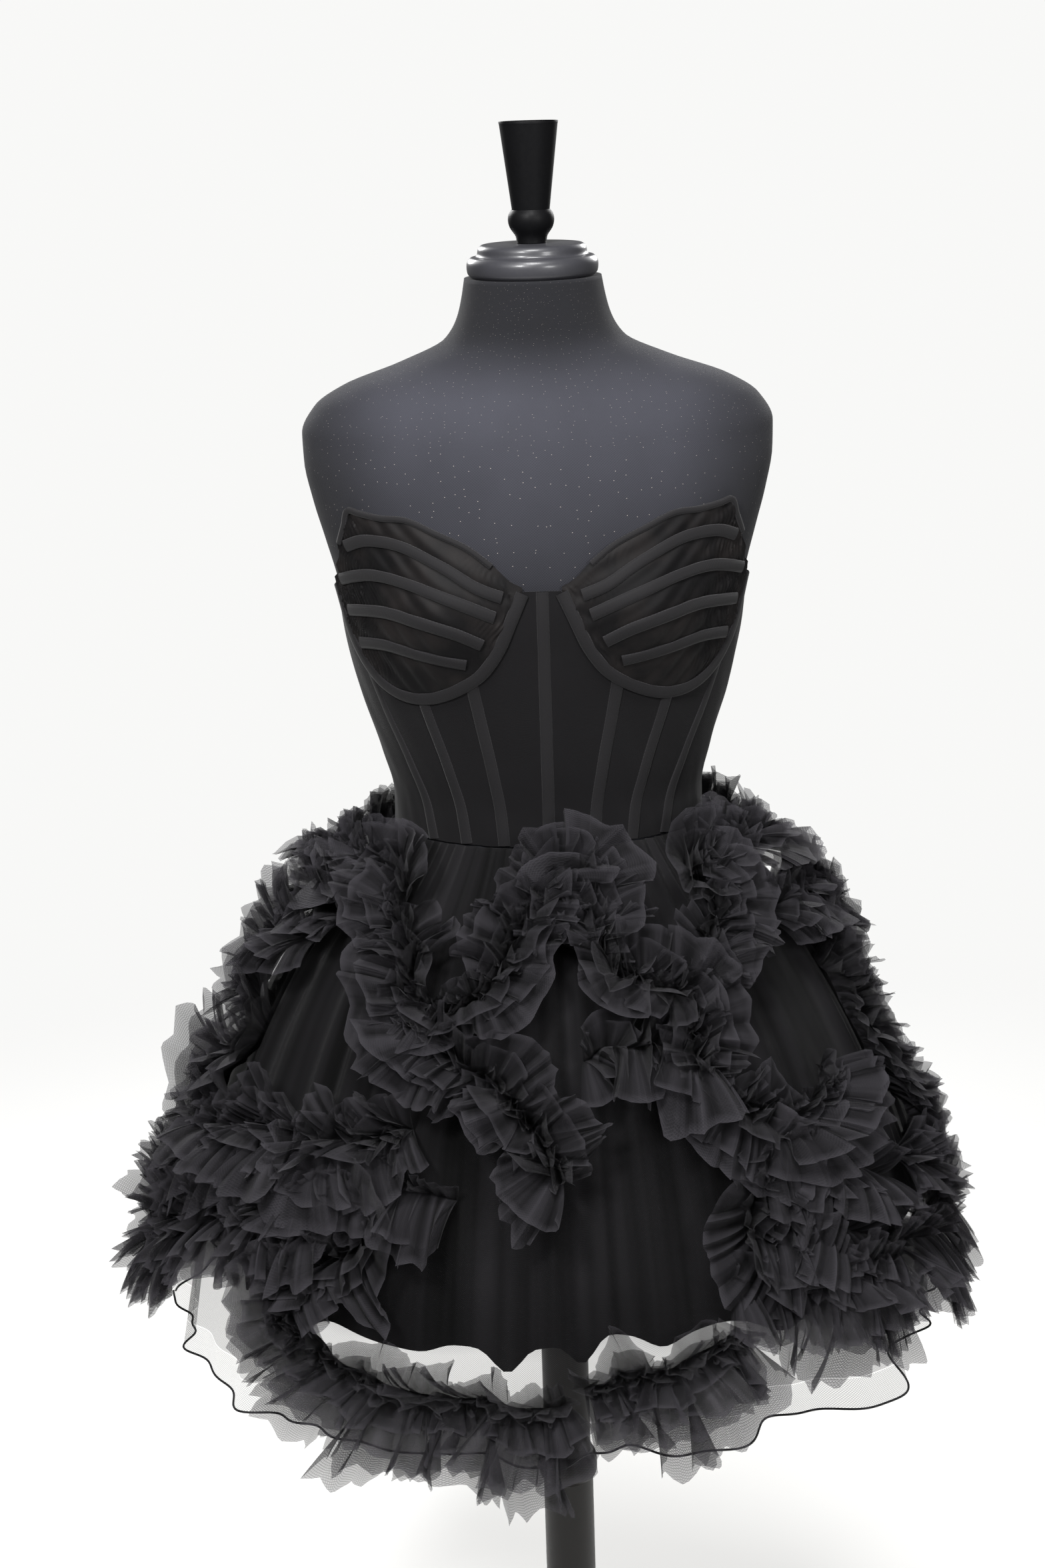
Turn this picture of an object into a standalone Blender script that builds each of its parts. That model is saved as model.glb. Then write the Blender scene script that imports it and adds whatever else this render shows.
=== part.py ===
# Boned strapless mini dress with a gathered net skirt and meandering ruffles, on a limbless dress form.
# Metres, +Z up, the dress faces -Y. Angles are in degrees round the upright axis, 0 at the front, plus towards +X.

import math

import bmesh
import bpy
import numpy as np

# Driving sizes
FORM_BOTTOM = 0.735
FORM_TOP = 1.467
FORM_SECTORS = 30
POLE_RADIUS = 0.0215
BASE_RADIUS = 0.185
BASE_SECTORS = 28
TURNED_SECTORS = 24
GAP = 0.0003
WAIST = 1.0360
SKIRT_HEM = 0.645
UNDER_HEM = 0.700
BRAID_WIDTH = 0.024
BODICE_WALL = 0.0014
CUP_WALL = 0.0016
TRIM_WALL = 0.0012
UNDER_WALL = 0.0010
SKIRT_WALL = 0.0012
RUFFLE_WALL = 0.0015
BODICE_OUT = 0.0020
CHANNEL_WIDTH = 0.0095
WIRE_WIDTH = 0.0100
EDGE_WIDTH = 0.0050
SKIRT_FOLDS = 16
WAVE_LENGTH = 0.040
WAVE_DEPTH = 0.16
WING_RISE = math.radians(52)
ROOT_OUT = 0.0021

# Dress form sections: height, half width, front depth, back depth
FORM = (
    (0.735, 0.146, 0.092, 0.100),
    (0.750, 0.158, 0.102, 0.110),
    (0.790, 0.166, 0.108, 0.118),
    (0.850, 0.168, 0.110, 0.119),
    (0.900, 0.162, 0.107, 0.112),
    (0.945, 0.151, 0.102, 0.101),
    (0.985, 0.137, 0.097, 0.091),
    (1.015, 0.1265, 0.0930, 0.0840),
    (1.036, 0.1225, 0.0915, 0.0815),
    (1.060, 0.1220, 0.0915, 0.0815),
    (1.098, 0.1305, 0.0945, 0.0845),
    (1.142, 0.1440, 0.0985, 0.0875),
    (1.190, 0.1550, 0.1030, 0.0905),
    (1.232, 0.1605, 0.1060, 0.0930),
    (1.270, 0.1700, 0.1045, 0.0950),
    (1.300, 0.1780, 0.0995, 0.0970),
    (1.330, 0.1835, 0.0925, 0.0965),
    (1.352, 0.1840, 0.0850, 0.0910),
    (1.373, 0.1730, 0.0750, 0.0820),
    (1.388, 0.1500, 0.0670, 0.0740),
    (1.404, 0.1060, 0.0590, 0.0650),
    (1.421, 0.0700, 0.0545, 0.0600),
    (1.438, 0.0595, 0.0525, 0.0560),
    (1.453, 0.0555, 0.0510, 0.0530),
    (1.467, 0.0530, 0.0500, 0.0510),
)
# Heights of the form's rings
FORM_RINGS = (
    0.735, 0.750, 0.800, 0.860, 0.930, 0.985, 1.015, 1.036, 1.057, 1.078, 1.099, 1.120, 1.142, 1.166, 1.190, 1.211,
    1.232, 1.251, 1.270, 1.286, 1.300, 1.330, 1.352, 1.373, 1.388, 1.404, 1.421, 1.438, 1.453, 1.467,
)

# Bust: half distance, height, spread across, spread up, depth on the form, depth of the dress cups
BUST_X = 0.083
BUST_Z = 1.222
BUST_ACROSS = 0.046
BUST_UP = 0.043
BUST_FORM = 0.012
BUST_DRESS = 0.020

# Skirt sections: height, half width, front depth, back depth
SKIRT = (
    (1.0357, 0.1254, 0.0944, 0.0844),
    (1.020, 0.1390, 0.1100, 0.1000),
    (0.990, 0.1680, 0.1400, 0.1320),
    (0.950, 0.2000, 0.1740, 0.1700),
    (0.900, 0.2310, 0.2060, 0.2060),
    (0.840, 0.2600, 0.2350, 0.2390),
    (0.770, 0.2880, 0.2630, 0.2680),
    (0.700, 0.3080, 0.2840, 0.2890),
    (0.600, 0.3280, 0.3060, 0.3100),
)
SKIRT_ROWS = (1.0353, 1.016, 0.986, 0.945, 0.890, 0.820, 0.735, 0.645)
# Depth of the soft folds: height, depth
FOLD_DEPTH = ((1.0357, 0.0), (0.985, 0.0016), (0.90, 0.0032), (0.80, 0.0045), (0.70, 0.0062), (0.600, 0.0100))

# Seams and bones of the bodice: name, angle at the waist, angle at height 1.17
SEAMS = (
    ("centre", 0.0, 0.0),
    ("inner", 16.5, 21.5),
    ("outer", 31.5, 40.5),
    ("side", 47.0, 62.0),
    ("under_arm", 91.0, 92.0),
    ("back", 130.0, 130.0),
    ("zip", 180.0, 180.0),
)
# Lower edge of a cup, along the underwire: angle, height
UNDERWIRE = (
    (5.3, 1.2405), (8.8, 1.2205), (12.8, 1.1975), (18.0, 1.1790), (24.4, 1.1675), (32.5, 1.1585), (40.0, 1.1550),
    (48.0, 1.1565), (56.0, 1.1640), (62.5, 1.1760), (68.5, 1.1920), (73.0, 1.2080), (76.0, 1.2210), (79.7, 1.2355),
)
# Upper edge of a cup: angle, height
NECKLINE = (
    (5.3, 1.2450), (8.0, 1.2490), (13.0, 1.2630), (19.0, 1.2765), (27.0, 1.2870), (34.7, 1.2960), (42.8, 1.2970),
    (50.0, 1.2995), (55.0, 1.3010), (58.5, 1.2890), (64.0, 1.2745), (70.0, 1.2560), (75.0, 1.2455), (79.7, 1.2395),
)
# Upper edge from the side round to the back: angle, height
BACK_EDGE = ((79.7, 1.2355), (92.0, 1.2320), (110.0, 1.2230), (130.0, 1.2150), (155.0, 1.2090), (180.0, 1.2070))
# Angles of the panels' columns at their top edge, as on the cups
PANEL_COLUMNS = [row[0] for row in UNDERWIRE] + [86.0, 100.5, 110.0, 120.0, 142.0, 155.0, 167.0]
# Channels across a cup: each a row of angle, height pairs from the gore to the side
CUP_CHANNELS = (
    ((11.0, 1.2380), (18.0, 1.2460), (26.5, 1.2610), (38.0, 1.2750), (50.0, 1.2775), (60.0, 1.2715)),
    ((13.5, 1.2235), (25.3, 1.2370), (38.6, 1.2480), (52.0, 1.2510), (70.0, 1.2430)),
    ((17.5, 1.2030), (26.0, 1.2140), (37.0, 1.2210), (49.0, 1.2240), (68.5, 1.2190)),
    ((22.5, 1.1870), (35.0, 1.1930), (49.3, 1.1975), (63.5, 1.1945)),
)

# Ruffles: along the gathering line, each row is angle, height, wing on the left, wing on the right in mm
RUFFLES = {
    "ruffle_centre": (
        (-24, 0.934, 34, 34), (-15, 0.944, 38, 28), (-10.5, 0.966, 40, 19), (-9.5, 0.989, 42, 18),
        (-5.5, 1.006, 42, 18), (0, 1.011, 42, 18), (5.5, 1.006, 42, 18), (9.5, 0.989, 42, 18),
        (10.5, 0.966, 40, 19), (14, 0.940, 40, 28), (21, 0.920, 42, 36),
        (27, 0.893, 42, 40), (31, 0.866, 44, 42), (38, 0.848, 40, 46), (45, 0.858, 34, 48),
        (50, 0.880, 30, 44), (53, 0.902, 26, 36),
    ),
    "ruffle_waist_left": (
        (-112, 0.998, 28, 42), (-96, 1.002, 28, 42), (-78, 1.004, 28, 42), (-62, 1.001, 28, 42), (-49, 0.988, 32, 40),
        (-41, 0.962, 34, 34), (-36, 0.932, 36, 34), (-28, 0.904, 38, 36), (-18, 0.892, 38, 34),
        (-8, 0.882, 42, 30), (-1, 0.860, 42, 40), (2, 0.826, 44, 44), (3, 0.785, 48, 48),
    ),
    "ruffle_side_left": (
        (-70, 0.938, 36, 36), (-84, 0.936, 36, 36), (-98, 0.922, 42, 34), (-104, 0.892, 46, 34), (-99, 0.861, 44, 36),
        (-88, 0.842, 42, 40), (-76, 0.826, 42, 44), (-64, 0.812, 42, 50), (-52, 0.806, 40, 54),
        (-40, 0.806, 38, 56), (-29, 0.812, 34, 52), (-20, 0.822, 28, 40),
    ),
    "ruffle_low_left": (
        (-112, 0.716, 40, 60), (-98, 0.700, 42, 62), (-86, 0.694, 42, 64), (-73, 0.703, 42, 64), (-60, 0.712, 42, 60),
        (-48, 0.716, 42, 56), (-38, 0.708, 42, 54), (-30, 0.692, 44, 54), (-21, 0.679, 44, 54),
        (-12, 0.670, 42, 52), (-4, 0.666, 40, 50),
    ),
    "ruffle_waist_right": (
        (40, 0.965, 30, 34), (47, 0.985, 32, 34), (57, 0.999, 36, 32), (72, 1.002, 40, 28), (88, 1.001, 42, 28),
        (104, 0.998, 42, 28),
    ),
    "ruffle_side_right": (
        (118, 0.930, 30, 34), (104, 0.936, 34, 36), (90, 0.934, 38, 36), (77, 0.920, 40, 38), (71, 0.892, 40, 40),
        (72, 0.860, 36, 44), (82, 0.836, 34, 50), (92, 0.812, 40, 50), (94, 0.782, 42, 46),
        (86, 0.757, 48, 44), (75, 0.764, 46, 40), (66, 0.784, 38, 30),
    ),
    "ruffle_low_right": (
        (27, 0.796, 34, 38), (34, 0.776, 38, 44), (40, 0.747, 40, 50), (46, 0.718, 40, 56), (56, 0.700, 40, 60),
        (68, 0.690, 42, 62), (81, 0.684, 42, 64), (95, 0.690, 40, 62), (108, 0.702, 36, 56),
    ),
    "ruffle_hem_right": ((8, 0.668, 42, 50), (17, 0.678, 44, 52), (26, 0.690, 40, 46)),
    "ruffle_back_top": (
        (126, 1.000, 36, 30), (142, 0.996, 38, 30), (158, 0.984, 40, 32), (172, 0.966, 40, 34), (186, 0.962, 40, 34),
        (200, 0.974, 38, 32), (214, 0.990, 36, 30), (230, 0.998, 34, 28),
    ),
    "ruffle_back_left": (
        (-128, 0.905, 34, 36), (-141, 0.914, 38, 36), (-154, 0.905, 40, 38), (-162, 0.876, 42, 42), (-158, 0.845, 42, 44),
        (-146, 0.826, 42, 46), (-133, 0.815, 40, 50), (-122, 0.812, 34, 44),
    ),
    "ruffle_back_right": (
        (120, 0.826, 38, 36), (132, 0.838, 40, 40), (143, 0.860, 42, 42), (151, 0.888, 42, 40), (163, 0.902, 40, 36),
        (175, 0.893, 38, 38), (183, 0.866, 40, 42), (184, 0.834, 42, 44), (181, 0.800, 44, 46),
    ),
    "ruffle_back_low": (
        (122, 0.716, 38, 56), (134, 0.730, 40, 56), (147, 0.732, 42, 56), (160, 0.716, 42, 56), (172, 0.700, 42, 56),
        (185, 0.694, 42, 56), (198, 0.702, 42, 56), (210, 0.718, 42, 56), (222, 0.728, 40, 56), (234, 0.722, 38, 56),
    ),
}


def clear_scene():
    for thing in list(bpy.data.objects):
        bpy.data.objects.remove(thing, do_unlink=True)


def make_material(name, colour, roughness, metallic=0.0):
    material = bpy.data.materials.new(name)
    material.use_nodes = True
    shader = next(node for node in material.node_tree.nodes if node.type == "BSDF_PRINCIPLED")
    shader.inputs["Base Color"].default_value = (*colour, 1.0)
    shader.inputs["Roughness"].default_value = roughness
    shader.inputs["Metallic"].default_value = metallic
    material.diffuse_color = (*colour, 1.0)
    return material


# Smooth value of column k of a table at x: a cubic through the rows with limited slopes
def smooth(table, x, k=1):
    xs = [row[0] for row in table]
    ys = [row[k] for row in table]
    if xs[0] > xs[-1]:
        xs.reverse()
        ys.reverse()
    if x <= xs[0]:
        return ys[0]
    if x >= xs[-1]:
        return ys[-1]
    i = max(j for j in range(len(xs) - 1) if xs[j] <= x)
    slopes = [(ys[j + 1] - ys[j]) / (xs[j + 1] - xs[j]) for j in range(len(xs) - 1)]

    def tangent(j):
        if j == 0:
            return slopes[0]
        if j == len(xs) - 1:
            return slopes[-1]
        if slopes[j - 1] * slopes[j] <= 0:
            return 0.0
        return 2 * slopes[j - 1] * slopes[j] / (slopes[j - 1] + slopes[j])

    step = xs[i + 1] - xs[i]
    t = (x - xs[i]) / step
    return (
        ys[i] * (2 * t**3 - 3 * t**2 + 1)
        + tangent(i) * step * (t**3 - 2 * t**2 + t)
        + ys[i + 1] * (3 * t**2 - 2 * t**3)
        + tangent(i + 1) * step * (t**3 - t**2)
    )


def oval(table, angle, height):
    turn = math.radians(angle)
    across = smooth(table, height, 1) * math.sin(turn)
    depth = smooth(table, height, 2 if math.cos(turn) > 0 else 3)
    return np.array((across, -depth * math.cos(turn), height))


def bust(point, depth):
    up = (point[2] - BUST_Z) / BUST_UP
    total = 0.0
    for side in (-1, 1):
        total += math.exp(-(((point[0] - side * BUST_X) / BUST_ACROSS) ** 2) - up**2)
    if point[1] < 0:
        point = point + np.array((0.0, -depth * total * min(1.0, -point[1] / 0.03), 0.0))
    return point


def form_point(angle, height):
    return bust(oval(FORM, angle, height), BUST_FORM)


def worn_point(angle, height):
    return bust(oval(FORM, angle, height), BUST_DRESS)


def normal_of(surface, angle, height):
    along = surface(angle + 0.5, height) - surface(angle - 0.5, height)
    up = surface(angle, height + 0.001) - surface(angle, height - 0.001)
    out = np.cross(along, up)
    return out / np.linalg.norm(out)


def moved_out(surface, angle, height, out):
    return surface(angle, height) + normal_of(surface, angle, height) * out


# New angle and height after a step along a surface: d_along across it and d_up up it, in metres
def stepped(surface, angle, height, d_along, d_up):
    along = np.linalg.norm(surface(angle + 0.5, height) - surface(angle - 0.5, height))
    up = np.linalg.norm(surface(angle, height + 0.001) - surface(angle, height - 0.001)) / 0.002
    return angle + d_along / along, height + d_up / up


def add_object(name, points, faces, material, sharp=math.radians(42)):
    mesh = bpy.data.meshes.new(name)
    body = bmesh.new()
    corners = [body.verts.new(point) for point in points]
    for face in faces:
        body.faces.new([corners[i] for i in face])
    bmesh.ops.recalc_face_normals(body, faces=body.faces)
    if body.calc_volume(signed=True) < 0:
        bmesh.ops.reverse_faces(body, faces=body.faces)
    for face in body.faces:
        face.smooth = True
    for edge in body.edges:
        edge.smooth = edge.calc_face_angle(0.0) < sharp
    body.to_mesh(mesh)
    body.free()
    mesh.materials.append(material)
    thing = bpy.data.objects.new(name, mesh)
    bpy.context.scene.collection.objects.link(thing)
    return thing


# Solid of revolution from a profile of height, radius rows, from the bottom to the top
def add_turned(name, material, profile, sectors=TURNED_SECTORS):
    points = []
    faces = []
    for height, radius in profile:
        for i in range(sectors):
            turn = 2 * math.pi * i / sectors
            points.append((radius * math.cos(turn), radius * math.sin(turn), height))
    for j in range(len(profile) - 1):
        for i in range(sectors):
            k = (i + 1) % sectors
            faces.append((j * sectors + i, j * sectors + k, (j + 1) * sectors + k, (j + 1) * sectors + i))
    faces.append(tuple(range(sectors))[::-1])
    top = (len(profile) - 1) * sectors
    faces.append(tuple(range(top, top + sectors)))
    return add_object(name, points, faces, material)


# Cloth wall between two grids of points, one on each face, rows by columns
def add_wall(name, material, outer, inner, closed=False):
    rows = len(outer)
    columns = len(outer[0])
    points = [p for row in outer for p in row] + [p for row in inner for p in row]
    shift = rows * columns
    faces = []
    spans = columns if closed else columns - 1
    for r in range(rows - 1):
        for c in range(spans):
            d = (c + 1) % columns
            a, b, e, f = r * columns + c, r * columns + d, (r + 1) * columns + d, (r + 1) * columns + c
            faces.append((a, b, e))
            faces.append((a, e, f))
            faces.append((shift + a, shift + e, shift + b))
            faces.append((shift + a, shift + f, shift + e))
    for c in range(spans):
        d = (c + 1) % columns
        faces.append((d, c, shift + c, shift + d))
        last = (rows - 1) * columns
        faces.append((last + c, last + d, shift + last + d, shift + last + c))
    if not closed:
        for r in range(rows - 1):
            a, b = r * columns, (r + 1) * columns
            faces.append((a, b, shift + b, shift + a))
            a, b = a + columns - 1, b + columns - 1
            faces.append((b, a, shift + a, shift + b))
    return add_object(name, points, faces, material)


# Cloth wall from rows of angle, height pairs on a surface, between two distances out from it
def add_panel(name, material, surface, rows, low, high, closed=False):
    outer = [[moved_out(surface, a, z, high) for a, z in row] for row in rows]
    inner = [[moved_out(surface, a, z, low) for a, z in row] for row in rows]
    return add_wall(name, material, outer, inner, closed)


# Points at even steps along a curve through rows of a table, smooth between the rows
def resample(rows, scale, step=None, count=None):
    rows = [np.array(row, float) for row in rows]
    fine = []
    for i in range(len(rows) - 1):
        before = rows[max(i - 1, 0)]
        after = rows[min(i + 2, len(rows) - 1)]
        for k in range(12):
            t = k / 12
            fine.append(
                0.5 * (
                    2 * rows[i]
                    + (rows[i + 1] - before) * t
                    + (2 * before - 5 * rows[i] + 4 * rows[i + 1] - after) * t**2
                    + (3 * rows[i] - before - 3 * rows[i + 1] + after) * t**3
                )
            )
    fine.append(rows[-1])
    places = [scale(row) for row in fine]
    run = [0.0]
    for a, b in zip(places, places[1:]):
        run.append(run[-1] + float(np.linalg.norm(b - a)))
    if count is None:
        count = max(2, round(run[-1] / step))
    wanted = [run[-1] * k / count for k in range(count + 1)]
    columns = [np.interp(wanted, run, [row[c] for row in fine]) for c in range(len(rows[0]))]
    return [tuple(column[k] for column in columns) for k in range(count + 1)]


# Flat strip laid on a surface along rows of angle, height pairs
def add_strip(name, material, surface, rows, width, low, high, count, trim=None):
    line = resample(rows, lambda row: surface(row[0], row[1]), count=count)
    sides = [[], []]
    for i, (angle, height) in enumerate(line):
        before = line[max(i - 1, 0)]
        after = line[min(i + 1, len(line) - 1)]
        run = surface(*after) - surface(*before)
        out = normal_of(surface, angle, height)
        across = np.cross(out, run)
        across /= np.linalg.norm(across)
        along = surface(angle + 0.5, height) - surface(angle - 0.5, height)
        along /= np.linalg.norm(along)
        up = np.cross(out, along)
        for k, side in enumerate((-1, 1)):
            reach = side * width / 2 * across
            sides[k].append(stepped(surface, angle, height, float(reach @ along), float(reach @ up)))
    if trim:
        sides = [trim(side) for side in sides]
    return add_panel(name, material, surface, sides, low, high)


def seam_angle(seam, height):
    low, high = seam[1], seam[2]
    return low + (high - low) * (height - WAIST) / (1.17 - WAIST)


def panel_top(angle):
    angle = abs(angle)
    if angle < UNDERWIRE[0][0]:
        return UNDERWIRE[0][1] + 0.002
    if angle < UNDERWIRE[-1][0]:
        return float(np.interp(angle, [row[0] for row in UNDERWIRE], [row[1] for row in UNDERWIRE]))
    return smooth(BACK_EDGE, angle)


# Height to leave on each side of the underwire line, more where it is steep, so that the gap keeps its width
def wire_gap(angle):
    angle = min(max(abs(angle), UNDERWIRE[0][0] + 1.0), UNDERWIRE[-1][0] - 1.0)
    run = np.linalg.norm(worn_point(angle + 1.0, 1.2) - worn_point(angle - 1.0, 1.2))
    slope = (panel_top(angle + 1.0) - panel_top(angle - 1.0)) / run
    return 0.00035 * math.sqrt(1 + slope**2)


# Where a seam meets the top edge of the panels
def seam_top(seam):
    height = 1.17
    for _ in range(8):
        height = panel_top(seam_angle(seam, height))
    return height


# Upright strip's side, stretched so that it ends just short of the underwire channel or the top edge
def trim_bone(side):
    angle, end = side[-1]
    top = panel_top(angle)
    run = np.linalg.norm(worn_point(abs(angle) + 1.0, top) - worn_point(abs(angle) - 1.0, top))
    slope = (panel_top(abs(angle) + 1.0) - panel_top(abs(angle) - 1.0)) / run
    reach = 0.0012
    if UNDERWIRE[0][0] < abs(angle) < UNDERWIRE[-1][0]:
        reach = (WIRE_WIDTH / 2 + 0.0006) * math.sqrt(1 + slope**2)
    ratio = (top - reach - WAIST) / (end - WAIST)
    return [(a, WAIST + (z - WAIST) * ratio) for a, z in side]


# Bodice panels between neighbouring seams, up to the underwire or the top edge
def build_panels(material):
    names = ("front_centre", "front_inner", "front_outer", "underarm", "back_side", "back")
    for name, first, second in zip(names, SEAMS, SEAMS[1:]):
        start = seam_angle(first, seam_top(first))
        end = seam_angle(second, seam_top(second))
        tops = [start] + [a for a in PANEL_COLUMNS if start + 1.3 < a < end - 1.3] + [end]
        for side, word in ((-1, "left"), (1, "right")):
            rows = []
            for r in range(9):
                row = []
                for angle in tops:
                    top = panel_top(angle) - wire_gap(angle)
                    t = (angle - seam_angle(first, top)) / (seam_angle(second, top) - seam_angle(first, top))
                    t = 0.0 if angle == start else 1.0 if angle == end else t
                    height = WAIST + (top - WAIST) * (r / 8) ** 1.15
                    middle = seam_angle(first, height) * (1 - t) + seam_angle(second, height) * t
                    half = math.degrees(0.6 * GAP / 0.13) * ((angle == start) - (angle == end))
                    row.append((side * (middle + half), height))
                rows.append(row)
            add_panel(
                f"bodice_{name}_{word}", material, worn_point, rows,
                BODICE_OUT - BODICE_WALL / 2, BODICE_OUT + BODICE_WALL / 2,
            )


def build_cups(material):
    for side, word in ((-1, "left"), (1, "right")):
        rows = []
        for r in range(8):
            row = []
            for angle, low in UNDERWIRE:
                low += wire_gap(angle)
                row.append((side * angle, low + (smooth(NECKLINE, angle) - low) * r / 7))
            rows.append(row)
        add_panel(
            f"cup_{word}", material, worn_point, rows, BODICE_OUT - BODICE_WALL / 2, BODICE_OUT + CUP_WALL / 2
        )


def build_trims(material):
    low = BODICE_OUT + CUP_WALL / 2 + 0.0006
    high = low + TRIM_WALL
    for side, word in ((-1, "left"), (1, "right")):
        wire = [(side * a, z) for a, z in UNDERWIRE]
        add_strip(f"underwire_channel_{word}", material, worn_point, wire, WIRE_WIDTH, low, high, 18)
        edge = [(side * a, z - EDGE_WIDTH / 2 - 0.0006) for a, z in NECKLINE[2:-3]]
        add_strip(f"neckline_edge_{word}", material, worn_point, edge, EDGE_WIDTH, low, high, 13)
        for k, row in enumerate(CUP_CHANNELS):
            line = [(side * a, z) for a, z in row]
            name = f"cup_channel_{k + 1}_{word}"
            add_strip(name, material, worn_point, line, CHANNEL_WIDTH, low + 0.0004, high + 0.0004, 10)
    for seam in SEAMS[:-1]:
        for side, word in ((-1, "left"), (1, "right")):
            if seam[0] == "under_arm" or (seam[0] == "centre" and side < 0):
                continue
            top = seam_top(seam)
            line = []
            for k in range(5):
                height = WAIST + 0.0008 + (top - WAIST - 0.0018) * k / 4
                line.append((side * seam_angle(seam, height), height))
            name = "bone_centre" if seam[0] == "centre" else f"bone_{seam[0]}_{word}"
            add_strip(name, material, worn_point, line, CHANNEL_WIDTH, low, high, 8, trim_bone)


def fold(angle):
    turn = math.radians(angle)
    return math.cos(SKIRT_FOLDS * turn + 0.9 * math.sin(3 * turn + 1.0) + 0.7 * math.sin(5 * turn + 0.4))


def skirt_point(angle, height):
    point = oval(SKIRT, angle, height)
    out = np.array((point[0], point[1], 0.0))
    out /= np.linalg.norm(out)
    depth = smooth(FOLD_DEPTH, height)
    return point + out * depth * fold(angle)


def plain_skirt_point(angle, height):
    return oval(SKIRT, angle, height)


# Point on the straight line between the skirt's rows above and below, without the folds
def skirt_chord(angle, height):
    height = min(max(height, SKIRT_ROWS[-1]), SKIRT_ROWS[0])
    r = max(j for j in range(len(SKIRT_ROWS) - 1) if SKIRT_ROWS[j] >= height)
    s = (SKIRT_ROWS[r] - height) / (SKIRT_ROWS[r] - SKIRT_ROWS[r + 1])
    upper = plain_skirt_point(angle, SKIRT_ROWS[r])
    lower = plain_skirt_point(angle, SKIRT_ROWS[r + 1])
    return upper * (1 - s) + lower * s


# How far the nearest built crest stands out of the plain skirt
def crest_lift(angle, height):
    step = 90 / SKIRT_FOLDS
    column = math.floor(angle / step)
    return smooth(FOLD_DEPTH, height) * max(fold((column + k) * step) for k in (-1, 0, 1, 2))


# Skirt panels, with a gap at each seam: name, first angle, last angle
SKIRT_PANELS = (("front", -90.0, 90.0), ("back_right", 90.0, 180.0), ("back_left", 180.0, 270.0))
UNDER_PANELS = (("front", -90.0, 90.0), ("back", 90.0, 270.0))


# Columns every so many degrees between two seams, short of each seam by half the gap
def split_angles(step, first, last, radius):
    half = math.degrees(0.6 * GAP / radius)
    angles = [step * k for k in range(-round(180 / step), 2 * round(180 / step))]
    return [first + half] + [a for a in angles if first + 0.8 < a < last - 0.8] + [last - half]


def build_skirt(material, under_material, braid_material):
    fold_step = 90 / SKIRT_FOLDS
    for name, first, last in SKIRT_PANELS:
        columns = split_angles(fold_step, first, last, 0.13)
        rows = [[(a, z) for a in columns] for z in SKIRT_ROWS]
        add_panel(f"skirt_{name}", material, skirt_point, rows, -SKIRT_WALL / 2, SKIRT_WALL / 2)
    for name, first, last in UNDER_PANELS:
        columns = split_angles(12, first, last, 0.13)
        heights = list(SKIRT_ROWS[:4]) + [0.850, UNDER_HEM]
        outer = []
        inner = []
        for z in heights:
            inset = 0.0013 + 0.0147 * min(1.0, (WAIST - z) / 0.06)
            outer.append([moved_out(plain_skirt_point, a, z, UNDER_WALL / 2 - inset) for a in columns])
            inner.append([moved_out(plain_skirt_point, a, z, -UNDER_WALL / 2 - inset) for a in columns])
        add_wall(f"underskirt_{name}", under_material, outer, inner)
        columns = split_angles(fold_step, first, last, 0.30)
        top = SKIRT_HEM - GAP - 0.0003
        rows = [[(a, z) for a in columns] for z in (top, top - BRAID_WIDTH)]
        add_panel(f"hem_braid_{name}", braid_material, skirt_point, rows, -SKIRT_WALL / 2, SKIRT_WALL / 2)


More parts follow.
